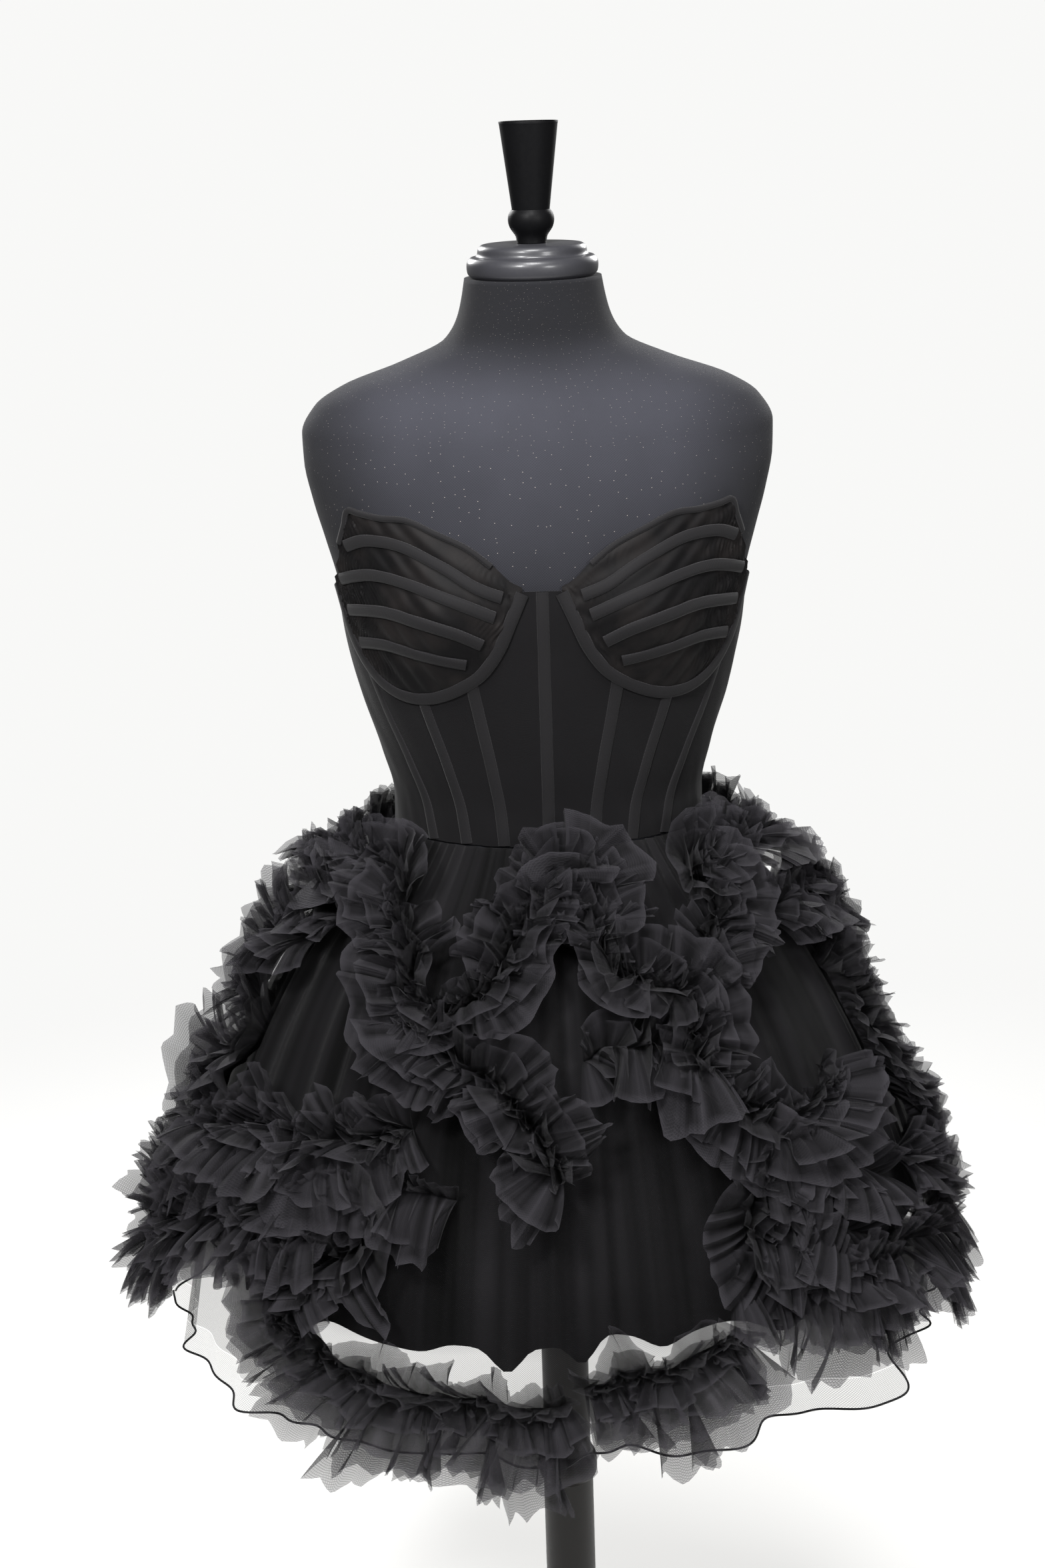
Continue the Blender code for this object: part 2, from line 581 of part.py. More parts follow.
# Ruffle gathered along its middle: two wings that rise from the line, their tips in waves
def build_ruffle(name, material, rows):
    def place(row):
        return plain_skirt_point(row[0], row[1])

    stations = resample(rows, place, step=WAVE_LENGTH / 4)
    lifts = [crest_lift(angle, height) for angle, height, left, right in stations]
    roots = []
    for i, (angle, height, left, right) in enumerate(stations):
        near = lifts[max(i - 2, 0):i + 3]
        lift = max(lifts[i], 0.5 * (max(near) + sum(near) / len(near)))
        point = skirt_chord(angle, height)
        roots.append(point + normal_of(plain_skirt_point, angle, height) * (lift + ROOT_OUT))
    bends = []
    for i in range(len(roots)):
        here = min(max(i, 2), len(roots) - 3)
        ahead = roots[here + 2] - roots[here]
        behind = roots[here] - roots[here - 2]
        turn = ahead / np.linalg.norm(ahead) - behind / np.linalg.norm(behind)
        bends.append(turn * 2 / (np.linalg.norm(ahead) + np.linalg.norm(behind)))
    middle = []
    for i, (angle, height, left, right) in enumerate(stations):
        run = roots[min(i + 1, len(roots) - 1)] - roots[max(i - 1, 0)]
        out = normal_of(plain_skirt_point, angle, height)
        run = run - out * float(run @ out)
        run /= np.linalg.norm(run)
        across = np.cross(out, run)
        row = [roots[i]]
        for side, wing, phase in ((1, left, 0), (-1, right, 1)):
            lie = across * side
            bend = max(float(b @ lie) for b in bends[max(i - 4, 0):i + 5])
            reach = min(wing / 1000, 0.5 / max(bend, 0.1) / math.cos(WING_RISE))
            slant = lie * math.cos(WING_RISE) + out * math.sin(WING_RISE)
            push = out * math.cos(WING_RISE) - lie * math.sin(WING_RISE)
            wave = math.sin(math.pi / 2 * (i + phase) + 0.35) * WAVE_DEPTH * reach
            tip = roots[i] + slant * reach * (1.0 - 0.04 * (i % 3)) + push * wave
            row.insert(0 if side > 0 else 2, tip)
        middle.append(row)
    outer = []
    inner = []
    for i in range(len(middle)):
        before = middle[max(i - 1, 0)]
        after = middle[min(i + 1, len(middle) - 1)]
        outer.append([])
        inner.append([])
        for k in range(3):
            run = after[k] - before[k]
            across = middle[i][min(k + 1, 2)] - middle[i][max(k - 1, 0)]
            away = normal_of(plain_skirt_point, stations[i][0], stations[i][1])
            out = np.cross(across, run) if k != 1 else away - run * float(run @ away) / float(run @ run)
            out /= np.linalg.norm(out)
            if out @ away < 0:
                out = -out
            half = RUFFLE_WALL / 2 * (1.3 if k == 1 else 1.0)
            outer[-1].append(middle[i][k] + out * half)
            inner[-1].append(middle[i][k] - out * half)
    add_wall(name, material, outer, inner)


def build_form(material):
    rings = []
    for height in FORM_RINGS:
        rings.append([form_point(360 * i / FORM_SECTORS, height) for i in range(FORM_SECTORS)])
    points = [p for ring in rings for p in ring]
    faces = []
    for j in range(len(rings) - 1):
        for i in range(FORM_SECTORS):
            k = (i + 1) % FORM_SECTORS
            faces.append(
                (j * FORM_SECTORS + i, j * FORM_SECTORS + k, (j + 1) * FORM_SECTORS + k, (j + 1) * FORM_SECTORS + i)
            )
    faces.append(tuple(range(FORM_SECTORS))[::-1])
    top = (len(rings) - 1) * FORM_SECTORS
    faces.append(tuple(range(top, top + FORM_SECTORS)))
    add_object("dress_form", points, faces, material)


def build_stand(pole_material, cap_material):
    add_turned(
        "stand_base", pole_material,
        (
            (0.0, BASE_RADIUS - 0.004), (0.004, BASE_RADIUS), (0.016, BASE_RADIUS), (0.022, BASE_RADIUS - 0.007),
            (0.028, 0.140), (0.040, 0.050), (0.048, 0.040), (0.060, 0.034),
        ),
        BASE_SECTORS,
    )
    add_turned(
        "stand_pole", pole_material,
        (
            (0.0603, POLE_RADIUS), (0.435, POLE_RADIUS), (0.4375, 0.0238), (0.443, 0.0252), (0.453, 0.0252),
            (0.4585, 0.0236), (0.4605, 0.0200), (FORM_BOTTOM - GAP, 0.0200),
        ),
        24,
    )
    add_turned(
        "neck_cap", cap_material,
        (
            (FORM_TOP + GAP, 0.0475), (1.4700, 0.0500), (1.4745, 0.0508), (1.4790, 0.0503), (1.4822, 0.0478),
            (1.4832, 0.0440), (1.4848, 0.0425), (1.4890, 0.0416), (1.4914, 0.0392), (1.4920, 0.0360),
        ),
        TURNED_SECTORS,
    )
    add_turned(
        "finial", cap_material,
        (
            (1.4923, 0.0115), (1.4960, 0.0119), (1.4985, 0.0128), (1.5040, 0.0165), (1.5095, 0.0178), (1.5145, 0.0170),
            (1.5175, 0.0148), (1.5205, 0.0149), (1.5790, 0.0221), (1.5810, 0.0224), (1.5820, 0.0214),
        ),
        20,
    )


def main():
    clear_scene()
    jersey = make_material("form_jersey", (0.012, 0.014, 0.020), 0.90)
    turned = make_material("turned_black", (0.010, 0.010, 0.011), 0.32)
    pole = make_material("stand_black", (0.020, 0.020, 0.018), 0.45)
    mesh = make_material("bodice_mesh", (0.010, 0.009, 0.009), 0.80)
    cup = make_material("cup_mesh", (0.016, 0.013, 0.011), 0.75)
    trim = make_material("channel_tape", (0.014, 0.014, 0.015), 0.70)
    net = make_material("skirt_net", (0.012, 0.012, 0.013), 0.75)
    lining = make_material("underskirt_cloth", (0.008, 0.008, 0.009), 0.85)
    braid = make_material("stiff_hem_braid", (0.010, 0.010, 0.010), 0.60)
    ruffle = make_material("ruffle_net", (0.014, 0.014, 0.016), 0.75)
    build_stand(pole, turned)
    build_form(jersey)
    build_panels(mesh)
    build_cups(cup)
    build_trims(trim)
    build_skirt(net, lining, braid)
    for name, rows in RUFFLES.items():
        build_ruffle(name, ruffle, rows)


main()
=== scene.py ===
# Cloth, trims and finishes of a strapless net mini dress on a limbless dress form.
# Metres, +Z up, the dress faces -Y. Angles are degrees round the upright axis, 0 in front, plus towards +X.

import math

import bpy
import numpy as np
from bpy.props import FloatProperty, FloatVectorProperty, IntProperty, PointerProperty
from mathutils import Matrix, Vector


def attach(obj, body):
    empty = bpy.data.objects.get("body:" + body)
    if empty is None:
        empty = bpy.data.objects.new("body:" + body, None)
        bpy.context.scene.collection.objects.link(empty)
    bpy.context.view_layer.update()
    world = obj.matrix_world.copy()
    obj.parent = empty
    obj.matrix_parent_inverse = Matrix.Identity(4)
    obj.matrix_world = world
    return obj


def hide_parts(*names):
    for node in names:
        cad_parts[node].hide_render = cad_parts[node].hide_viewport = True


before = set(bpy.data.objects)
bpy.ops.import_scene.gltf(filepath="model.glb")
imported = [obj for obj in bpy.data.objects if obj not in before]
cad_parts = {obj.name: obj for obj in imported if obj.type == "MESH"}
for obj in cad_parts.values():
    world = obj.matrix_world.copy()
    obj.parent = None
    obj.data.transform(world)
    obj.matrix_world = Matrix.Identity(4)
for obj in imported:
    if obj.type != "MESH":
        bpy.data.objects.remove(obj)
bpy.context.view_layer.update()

bl_info = {
    "name": "Net mini dress on a dress form",
    "version": (1, 0, 0),
    "blender": (4, 5, 0),
    "location": "3D View > Sidebar > Dress",
    "description": "Builds the cloth, the trims and the finishes over the packed solids",
    "category": "Object",
}

# Driving sizes
WAIST = 1.0360
GAP = 0.0003
BODICE_OUT = 0.0020
CHANNEL_WIDTH = 0.0095
WIRE_WIDTH = 0.0100
EDGE_WIDTH = 0.0050
TAPE_LOW = 0.0032
SKIRT_TOP = 1.0353
SKIRT_HEM = 0.645
UNDER_HEM = 0.700
BRAID_WIDTH = 0.024
SKIRT_FOLDS = 16
WAIST_GATHERS = 88
POLE_RADIUS = 0.0215
BASE_RADIUS = 0.185
FORM_TOP = 1.467
FORM_BOTTOM = 0.735
CLOTH_GLOSS = 0.12
ROOM_LIGHT = 0.16
WAIST_RADIUS = 0.13
HEM_RADIUS = 0.30
PANEL_WALL = 0.0009
CUP_WALL = 0.0008
CORD_RADIUS = 0.0009

# Cuts: the round of the hem cord
CORD_ROUND = 0.0057

# Ruffles: how far the gathering line stands out, the least distance from the skirt and what each layer adds,
# lean of a pleat, what the wings have more than their table, steps across a wing, how much coarser the back is
ROOT_OUT = 0.0020
RUFFLE_CLEAR = 0.0015
LAYER_RISE = 0.0010
PLEAT_LEAN = 0.0007
WING_MORE = 0.005
WING_STEPS = 9
WING_SHARES = np.linspace(0, 1, WING_STEPS + 1)
BACK_COARSER = 1.5
# Painted shade in the valleys of the pleats to painted highlight on their ridges, and how much thinner the net
# gets at a wing's edge
PAINTED_PLEAT_TONES = (0.08, 2.45)
WING_THINNER = 0.22

SIDES = ((-1, "left"), (1, "right"))
HALVES = (("front", -90.0, 90.0), ("back", 90.0, 270.0))

# Dress form sections: height, half width, front depth, back depth
FORM = (
    (0.735, 0.146, 0.092, 0.1), (0.75, 0.158, 0.102, 0.11), (0.79, 0.166, 0.108, 0.118),
    (0.85, 0.168, 0.11, 0.119), (0.9, 0.162, 0.107, 0.112), (0.945, 0.151, 0.102, 0.101),
    (0.985, 0.137, 0.097, 0.091), (1.015, 0.1265, 0.093, 0.084), (1.036, 0.1225, 0.0915, 0.0815),
    (1.06, 0.122, 0.0915, 0.0815), (1.098, 0.1305, 0.0945, 0.0845), (1.142, 0.144, 0.0985, 0.0875),
    (1.19, 0.155, 0.103, 0.0905), (1.232, 0.1605, 0.106, 0.093), (1.27, 0.17, 0.1045, 0.095),
    (1.3, 0.178, 0.0995, 0.097), (1.33, 0.1835, 0.0925, 0.0965), (1.352, 0.184, 0.085, 0.091),
    (1.373, 0.173, 0.075, 0.082), (1.388, 0.15, 0.067, 0.074), (1.404, 0.106, 0.059, 0.065),
    (1.421, 0.07, 0.0545, 0.06), (1.438, 0.0595, 0.0525, 0.056), (1.453, 0.0555, 0.051, 0.053),
    (1.467, 0.053, 0.05, 0.051),
)

# Bust: half distance, height, spread across, spread up, depth on the form, depth of the dress cups
BUST_X = 0.083
BUST_Z = 1.222
BUST_ACROSS = 0.046
BUST_UP = 0.043
BUST_FORM = 0.012
BUST_DRESS = 0.020

# Skirt sections: height, half width, front depth, back depth
SKIRT = (
    (1.0357, 0.1254, 0.0944, 0.0844),
    (1.020, 0.1390, 0.1100, 0.1000),
    (0.990, 0.1680, 0.1400, 0.1320),
    (0.950, 0.2000, 0.1740, 0.1700),
    (0.900, 0.2310, 0.2060, 0.2060),
    (0.840, 0.2600, 0.2350, 0.2390),
    (0.770, 0.2880, 0.2630, 0.2680),
    (0.700, 0.3080, 0.2840, 0.2890),
    (0.600, 0.3280, 0.3060, 0.3100),
)
# Depth of the soft folds: height, depth
FOLD_DEPTH = ((0.600, 0.0100), (0.70, 0.0062), (0.80, 0.0045), (0.90, 0.0032), (0.985, 0.0016), (1.0357, 0.0))
# Share of the hem flutes: height, share
FLUTE_SHARE = ((0.600, 1.0), (0.645, 0.72), (0.700, 0.22), (0.760, 0.0), (1.0357, 0.0))
# Hem flutes: angle, spread, depth in mm
FLUTES = (
    (-64, 6, -8), (-52, 7, 20), (-41, 5, -12), (-30, 6, 15), (-19, 5, -8), (-6, 7, 7), (10, 6, -7),
    (22, 6, 9), (32, 5, -9), (46, 8, 21), (60, 6, -16), (72, 8, -20), (88, 8, -12), (108, 8, 10),
    (121, 7, -8), (138, 8, 12), (155, 7, -8), (172, 8, 10), (190, 7, -9), (207, 8, 12), (226, 7, -7),
    (244, 9, 10), (262, 8, -6),
)

# Seams and bones of the bodice: name, angle at the waist, angle at height 1.17
SEAMS = (
    ("centre", 0.0, 0.0),
    ("inner", 16.5, 21.5),
    ("outer", 31.5, 40.5),
    ("side", 47.0, 62.0),
    ("under_arm", 91.0, 92.0),
    ("back", 130.0, 130.0),
    ("zip", 180.0, 180.0),
)
PANELS = ("front_centre", "front_inner", "front_outer", "underarm", "back_side", "back")
# Lower edge of a cup, along the underwire: angle, height
UNDERWIRE = (
    (5.3, 1.2405), (8.8, 1.2205), (12.8, 1.1975), (18.0, 1.179), (24.4, 1.1675), (32.5, 1.1585),
    (40.0, 1.155), (48.0, 1.1565), (56.0, 1.164), (62.5, 1.176), (68.5, 1.192), (73.0, 1.208), (76.0, 1.221),
    (79.7, 1.2355),
)
# Upper edge of a cup: angle, height
NECKLINE = (
    (5.3, 1.245), (8.0, 1.249), (13.0, 1.263), (19.0, 1.2765), (27.0, 1.287), (34.7, 1.296), (42.8, 1.297),
    (50.0, 1.2995), (55.0, 1.301), (58.5, 1.289), (64.0, 1.2745), (70.0, 1.256), (75.0, 1.2455),
    (79.7, 1.2395),
)
# Upper edge from the side round to the back: angle, height
BACK_EDGE = ((79.7, 1.2355), (92.0, 1.2320), (110.0, 1.2230), (130.0, 1.2150), (155.0, 1.2090), (180.0, 1.2070))
# Channels across a cup: each a row of angle, height pairs from the gore to the side
CUP_CHANNELS = (
    ((11.0, 1.2380), (18.0, 1.2460), (26.5, 1.2610), (38.0, 1.2750), (50.0, 1.2775), (60.0, 1.2715)),
    ((13.5, 1.2235), (25.3, 1.2370), (38.6, 1.2480), (52.0, 1.2510), (70.0, 1.2430)),
    ((17.5, 1.2030), (26.0, 1.2140), (37.0, 1.2210), (49.0, 1.2240), (68.5, 1.2190)),
    ((22.5, 1.1870), (35.0, 1.1930), (49.3, 1.1975), (63.5, 1.1945)),
)

# Ruffles: along the gathering line, each row is angle, height, wing on the left, wing on the right in mm
RUFFLES = {
    "ruffle_centre": (
        (-29, 0.935, 36, 36), (-23.6, 0.93, 38, 36), (-18, 0.935, 42, 40), (-13, 0.948, 42, 44),
        (-10.7, 0.964, 40, 48), (-8, 0.98, 40, 48), (-4.5, 0.996, 42, 46), (-1, 1.01, 40, 42),
        (2.5, 1.018, 40, 38), (6.3, 1.018, 40, 34), (9.5, 1.009, 42, 34), (11, 0.992, 44, 32),
        (11, 0.972, 42, 30), (12.7, 0.957, 40, 36), (17, 0.949, 40, 46), (22.8, 0.942, 40, 50),
        (27, 0.93, 40, 48), (27.5, 0.913, 40, 44), (26.6, 0.895, 40, 44), (26.8, 0.876, 42, 44),
        (28.5, 0.861, 44, 46), (32, 0.853, 42, 54), (36, 0.846, 40, 58), (40, 0.838, 38, 58),
        (45, 0.84, 36, 54), (50, 0.85, 36, 48), (54, 0.862, 32, 42),
    ),
    "ruffle_waist_left": (
        (-112, 0.998, 28, 42), (-98, 1.001, 30, 46), (-82, 1.005, 32, 48), (-67, 1.009, 32, 48),
        (-51, 1.013, 32, 46), (-44, 1.005, 36, 44), (-42, 0.99, 38, 44), (-37, 0.975, 40, 42),
        (-32.4, 0.959, 42, 42), (-31, 0.942, 44, 44), (-28.8, 0.925, 44, 46), (-24.8, 0.912, 42, 46),
        (-19.3, 0.902, 42, 44), (-14, 0.891, 42, 42), (-9.9, 0.88, 42, 44), (-6, 0.865, 44, 46),
        (-3.2, 0.851, 46, 50), (-1.4, 0.836, 50, 54), (0.6, 0.82, 52, 54),
    ),
    "ruffle_side_left": (
        (-66, 0.956, 42, 42), (-77, 0.948, 46, 46), (-87, 0.932, 50, 46), (-88, 0.908, 52, 44),
        (-81, 0.896, 50, 40), (-75, 0.888, 46, 38), (-74, 0.87, 46, 42), (-78, 0.85, 48, 42),
        (-84, 0.83, 50, 50), (-82, 0.81, 56, 64), (-75, 0.805, 44, 64), (-62, 0.817, 42, 62),
        (-50, 0.831, 42, 64), (-40, 0.833, 42, 66), (-32, 0.839, 40, 60), (-25, 0.851, 36, 48),
    ),
    "ruffle_low_left": (
        (-112, 0.712, 48, 60), (-100, 0.7, 62, 64), (-90, 0.694, 66, 68), (-80, 0.706, 52, 70),
        (-65, 0.744, 42, 66), (-52, 0.769, 40, 66), (-42.5, 0.784, 40, 64), (-35, 0.79, 42, 60),
        (-30.5, 0.781, 46, 52), (-32, 0.761, 52, 44), (-38, 0.741, 54, 42), (-42.5, 0.72, 52, 46),
        (-38, 0.694, 44, 54), (-32, 0.677, 42, 62), (-23, 0.669, 42, 62), (-13.4, 0.664, 42, 62),
        (-5, 0.664, 40, 60), (0, 0.668, 38, 54),
    ),
    "ruffle_waist_right": (
        (33, 0.938, 30, 40), (38, 0.962, 34, 44), (44, 0.978, 36, 44), (48, 0.99, 36, 42),
        (44, 1.002, 38, 36), (44, 1.012, 36, 36), (54, 1.014, 34, 38), (68, 1.012, 34, 44),
        (82, 1.006, 34, 46), (104, 0.998, 30, 44),
    ),
    "ruffle_side_right": (
        (118, 0.93, 34, 38), (104, 0.938, 38, 40), (90, 0.942, 40, 42), (79, 0.934, 42, 42),
        (72, 0.915, 40, 44), (70, 0.892, 38, 46), (71, 0.86, 34, 46), (75, 0.834, 32, 48),
        (80, 0.808, 30, 48), (83, 0.783, 30, 48), (80, 0.76, 36, 44), (72, 0.757, 42, 42),
        (65, 0.776, 40, 34),
    ),
    "ruffle_low_right": (
        (32, 0.833, 40, 40), (36, 0.809, 44, 42), (31.7, 0.788, 46, 44), (30, 0.763, 46, 46),
        (33, 0.74, 44, 50), (39, 0.726, 42, 54), (46, 0.718, 42, 54), (56, 0.715, 38, 60),
        (68, 0.706, 34, 64), (81, 0.695, 30, 60), (95, 0.692, 32, 56), (108, 0.702, 34, 56),
    ),
    "ruffle_hem_right": (
        (2.5, 0.672, 38, 50), (9.6, 0.681, 42, 58), (15, 0.688, 44, 60), (20, 0.695, 44, 58),
        (24, 0.708, 40, 52),
    ),
    "ruffle_back_top": (
        (112, 1.002, 34, 32), (126, 1.0, 36, 32), (142, 0.996, 38, 30), (158, 0.984, 40, 32),
        (172, 0.966, 40, 34), (186, 0.962, 40, 34), (200, 0.974, 38, 32), (214, 0.99, 36, 30),
        (230, 0.998, 34, 30), (246, 1.002, 32, 30),
    ),
    "ruffle_back_left": (
        (-128, 0.905, 34, 36), (-141, 0.914, 38, 36), (-154, 0.905, 40, 38), (-162, 0.876, 42, 42),
        (-158, 0.845, 42, 44), (-146, 0.826, 42, 46), (-133, 0.815, 40, 50), (-122, 0.812, 34, 44),
    ),
    "ruffle_back_right": (
        (120, 0.826, 38, 36), (132, 0.838, 40, 40), (143, 0.86, 42, 42), (151, 0.888, 42, 40),
        (163, 0.902, 40, 36), (175, 0.893, 38, 38), (183, 0.866, 40, 42), (184, 0.834, 42, 44),
        (181, 0.8, 44, 46),
    ),
    "ruffle_back_low": (
        (122, 0.716, 38, 56), (134, 0.73, 40, 56), (147, 0.732, 42, 56), (160, 0.716, 42, 56),
        (172, 0.7, 42, 56), (185, 0.694, 42, 56), (198, 0.702, 42, 56), (210, 0.718, 42, 56),
        (222, 0.728, 40, 56), (234, 0.722, 38, 56),
    ),
}

# Short ruffles that lie among the others and have no solid of their own, in the same rows
SHORT_RUFFLES = {
    "ruffle_short_fan": (
        (5, 0.9, 20, 50), (12, 0.908, 24, 62), (20, 0.905, 24, 64), (29, 0.893, 20, 52),
    ),
    "ruffle_short_rosette": (
        (-1, 0.974, 28, 28), (1, 0.99, 30, 28), (4, 0.998, 30, 26), (6.5, 0.986, 30, 28), (6, 0.968, 26, 26),
    ),
    "ruffle_short_left_upper": (
        (-50, 0.972, 30, 40), (-62, 0.976, 34, 44), (-76, 0.978, 36, 46), (-92, 0.976, 30, 42),
    ),
    "ruffle_short_right_top": (
        (60, 0.966, 32, 42), (73, 0.97, 34, 44), (87, 0.97, 36, 44), (100, 0.966, 30, 40),
    ),
    "ruffle_short_left": (
        (-63, 0.787, 20, 50), (-49, 0.799, 24, 56), (-37, 0.81, 24, 58), (-27, 0.815, 24, 56),
        (-16, 0.806, 18, 46),
    ),
    "ruffle_short_right_upper": (
        (33, 0.811, 22, 48), (42, 0.808, 26, 56), (51.5, 0.791, 26, 54), (61, 0.766, 22, 44),
    ),
    "ruffle_short_right_middle": (
        (29, 0.77, 22, 48), (37, 0.767, 26, 56), (46, 0.75, 26, 56), (57, 0.724, 22, 44),
    ),
    "ruffle_short_right_lower": (
        (24, 0.738, 22, 44), (31, 0.726, 24, 52), (40, 0.707, 24, 56), (51, 0.69, 22, 46),
    ),
}

# Layers of a ruffle: share of the wing, slope at the root and at the tip, then in mm the pitch, depth and lean
# of its petals and the pitch and depth of the pleats in them
RUFFLE_LAYERS = (
    (1.04, 64, 14, 23.0, 5.0, 3.0, 4.3, 3.2),
    (0.94, 70, 30, 18.0, 6.0, 4.0, 4.1, 3.1),
    (0.80, 78, 52, 13.0, 6.5, 6.0, 3.9, 2.7),
    (0.52, 86, 72, 10.0, 6.5, 6.0, 3.8, 2.3),
)
# Ruffles with fewer layers than the four of a long one or the three of a short one
FEWER_LAYERS = {
    "ruffle_low_right": 3, "ruffle_short_right_upper": 2, "ruffle_short_right_middle": 2,
    "ruffle_short_right_lower": 2, "ruffle_short_left": 2, "ruffle_short_fan": 2,
}

# Section of a tape: share of its half width, share of its dome
TAPE_SECTION = (
    (1.0, -0.8), (0.99, 0.1), (0.93, 0.55), (0.8, 0.62), (0.72, 0.8), (0.35, 0.97), (0.0, 1.0),
    (-0.35, 0.97), (-0.72, 0.8), (-0.8, 0.62), (-0.93, 0.55), (-0.99, 0.1), (-1.0, -0.8),
)

# Profiles of the turned pieces: height, radius
CAP_PROFILE = (
    (FORM_TOP + GAP, 0.0475), (1.4700, 0.0500), (1.4745, 0.0508), (1.4790, 0.0503), (1.4822, 0.0478),
    (1.4832, 0.0440), (1.4848, 0.0425), (1.4890, 0.0416), (1.4914, 0.0392), (1.4920, 0.0360),
)
FINIAL_PROFILE = (
    (1.4923, 0.0115), (1.4960, 0.0119), (1.4985, 0.0128), (1.5040, 0.0165), (1.5095, 0.0178), (1.5145, 0.0170),
    (1.5175, 0.0148), (1.5205, 0.0149), (1.5790, 0.0221), (1.5810, 0.0224), (1.5820, 0.0214),
)
POLE_PROFILE = (
    (0.0603, POLE_RADIUS), (0.435, POLE_RADIUS), (0.4362, 0.0226), (0.4380, 0.0240), (0.4405, 0.0249),
    (0.4440, 0.0253), (0.4480, 0.0254), (0.4520, 0.0252), (0.4555, 0.0246), (0.4585, 0.0234), (0.4600, 0.0214),
    (0.4606, 0.0200), (FORM_BOTTOM - GAP, 0.0200),
)
BASE_PROFILE = (
    (0.0, BASE_RADIUS - 0.004), (0.0012, BASE_RADIUS - 0.0012), (0.004, BASE_RADIUS), (0.016, BASE_RADIUS),
    (0.0195, BASE_RADIUS - 0.0015), (0.0222, BASE_RADIUS - 0.007), (0.0245, 0.170), (0.0285, 0.140),
    (0.0320, 0.100), (0.0365, 0.070), (0.0410, 0.052), (0.048, 0.041), (0.0545, 0.0365), (0.0588, 0.0345),
    (0.0600, 0.0320),
)

# Studio lamps: name, place, what it points at, size, power
LAMPS = (
    ("key", (-1.0, -2.25, 2.95), (0.0, 0.0, 1.0), 0.6, 86.0),
    ("fill", (1.4, -2.4, 2.2), (0.0, 0.0, 0.9), 0.8, 38.0),
    ("top", (0.0, -1.1, 3.4), (0.0, 0.0, 1.0), 0.8, 56.0),
    ("rim_left", (-1.6, 2.8, 2.4), (0.0, 0.0, 0.9), 1.2, 74.0),
    ("rim_right", (1.5, 2.8, 2.2), (0.0, 0.0, 0.9), 1.2, 54.0),
)
# Camera: place, how far it looks down, to the left and rolls, in the photograph's frame and its pixels
SENSOR = 36.0
FRAME_HEIGHT = 2352
LENS_PIXELS = 4005
CAMERA_PLACE = (0.0, -2.086, 1.640)
CAMERA_DOWN = math.radians(15.5)
CAMERA_LEFT = math.atan(39.5 / LENS_PIXELS)
CAMERA_ROLL = math.radians(1.86)


# Smooth value of column k of a table at x, for one number or many: a cubic through the rows with limited slopes
def smooth(table, x, k=1):
    rows = sorted(table)
    xs = np.array([row[0] for row in rows], float)
    ys = np.array([row[k] for row in rows], float)
    slopes = np.diff(ys) / np.diff(xs)
    same = slopes[:-1] * slopes[1:] > 0
    total = np.where(same, slopes[:-1] + slopes[1:], 1.0)
    middle = np.where(same, 2 * slopes[:-1] * slopes[1:] / total, 0.0)
    tangents = np.concatenate(([slopes[0]], middle, [slopes[-1]]))
    x = np.clip(x, xs[0], xs[-1])
    i = np.clip(np.searchsorted(xs, x, side="right") - 1, 0, len(xs) - 2)
    step = xs[i + 1] - xs[i]
    t = (x - xs[i]) / step
    return (
        ys[i] * (2 * t**3 - 3 * t**2 + 1)
        + tangents[i] * step * (t**3 - 2 * t**2 + t)
        + ys[i + 1] * (3 * t**2 - 2 * t**3)
        + tangents[i + 1] * step * (t**3 - t**2)
    )


# Value that runs from 0 to 1 as x goes from one edge to the other, soft at both
def ease(x, first, last):
    t = np.clip((x - first) / (last - first), 0.0, 1.0)
    return t * t * (3 - 2 * t)


def oval(table, angle, height):
    angle, height = np.broadcast_arrays(np.asarray(angle, float), np.asarray(height, float))
    turn = np.radians(angle)
    depth = np.where(np.cos(turn) > 0, smooth(table, height, 2), smooth(table, height, 3))
    return np.stack((smooth(table, height, 1) * np.sin(turn), -depth * np.cos(turn), height), axis=-1)


def bust(point, depth):
    up = (point[..., 2] - BUST_Z) / BUST_UP
    total = sum(np.exp(-(((point[..., 0] - side * BUST_X) / BUST_ACROSS) ** 2) - up**2) for side in (-1, 1))
    forward = depth * total * np.clip(-point[..., 1] / 0.03, 0.0, 1.0)
    return np.stack((point[..., 0], point[..., 1] - forward, point[..., 2]), axis=-1)


def form_point(angle, height):
    return bust(oval(FORM, angle, height), BUST_FORM)


def worn_point(angle, height):
    return bust(oval(FORM, angle, height), BUST_DRESS)


def fold(angle):
    turn = np.radians(angle)
    return np.cos(SKIRT_FOLDS * turn + 0.9 * np.sin(3 * turn + 1.0) + 0.7 * np.sin(5 * turn + 0.4))


def flute(angle):
    angle = (np.asarray(angle, float) + 90) % 360 - 90
    return sum(depth / 1000 * np.exp(-(((angle - middle) / spread) ** 2)) for middle, spread, depth in FLUTES)


def plain_skirt_point(angle, height):
    return oval(SKIRT, angle, height)


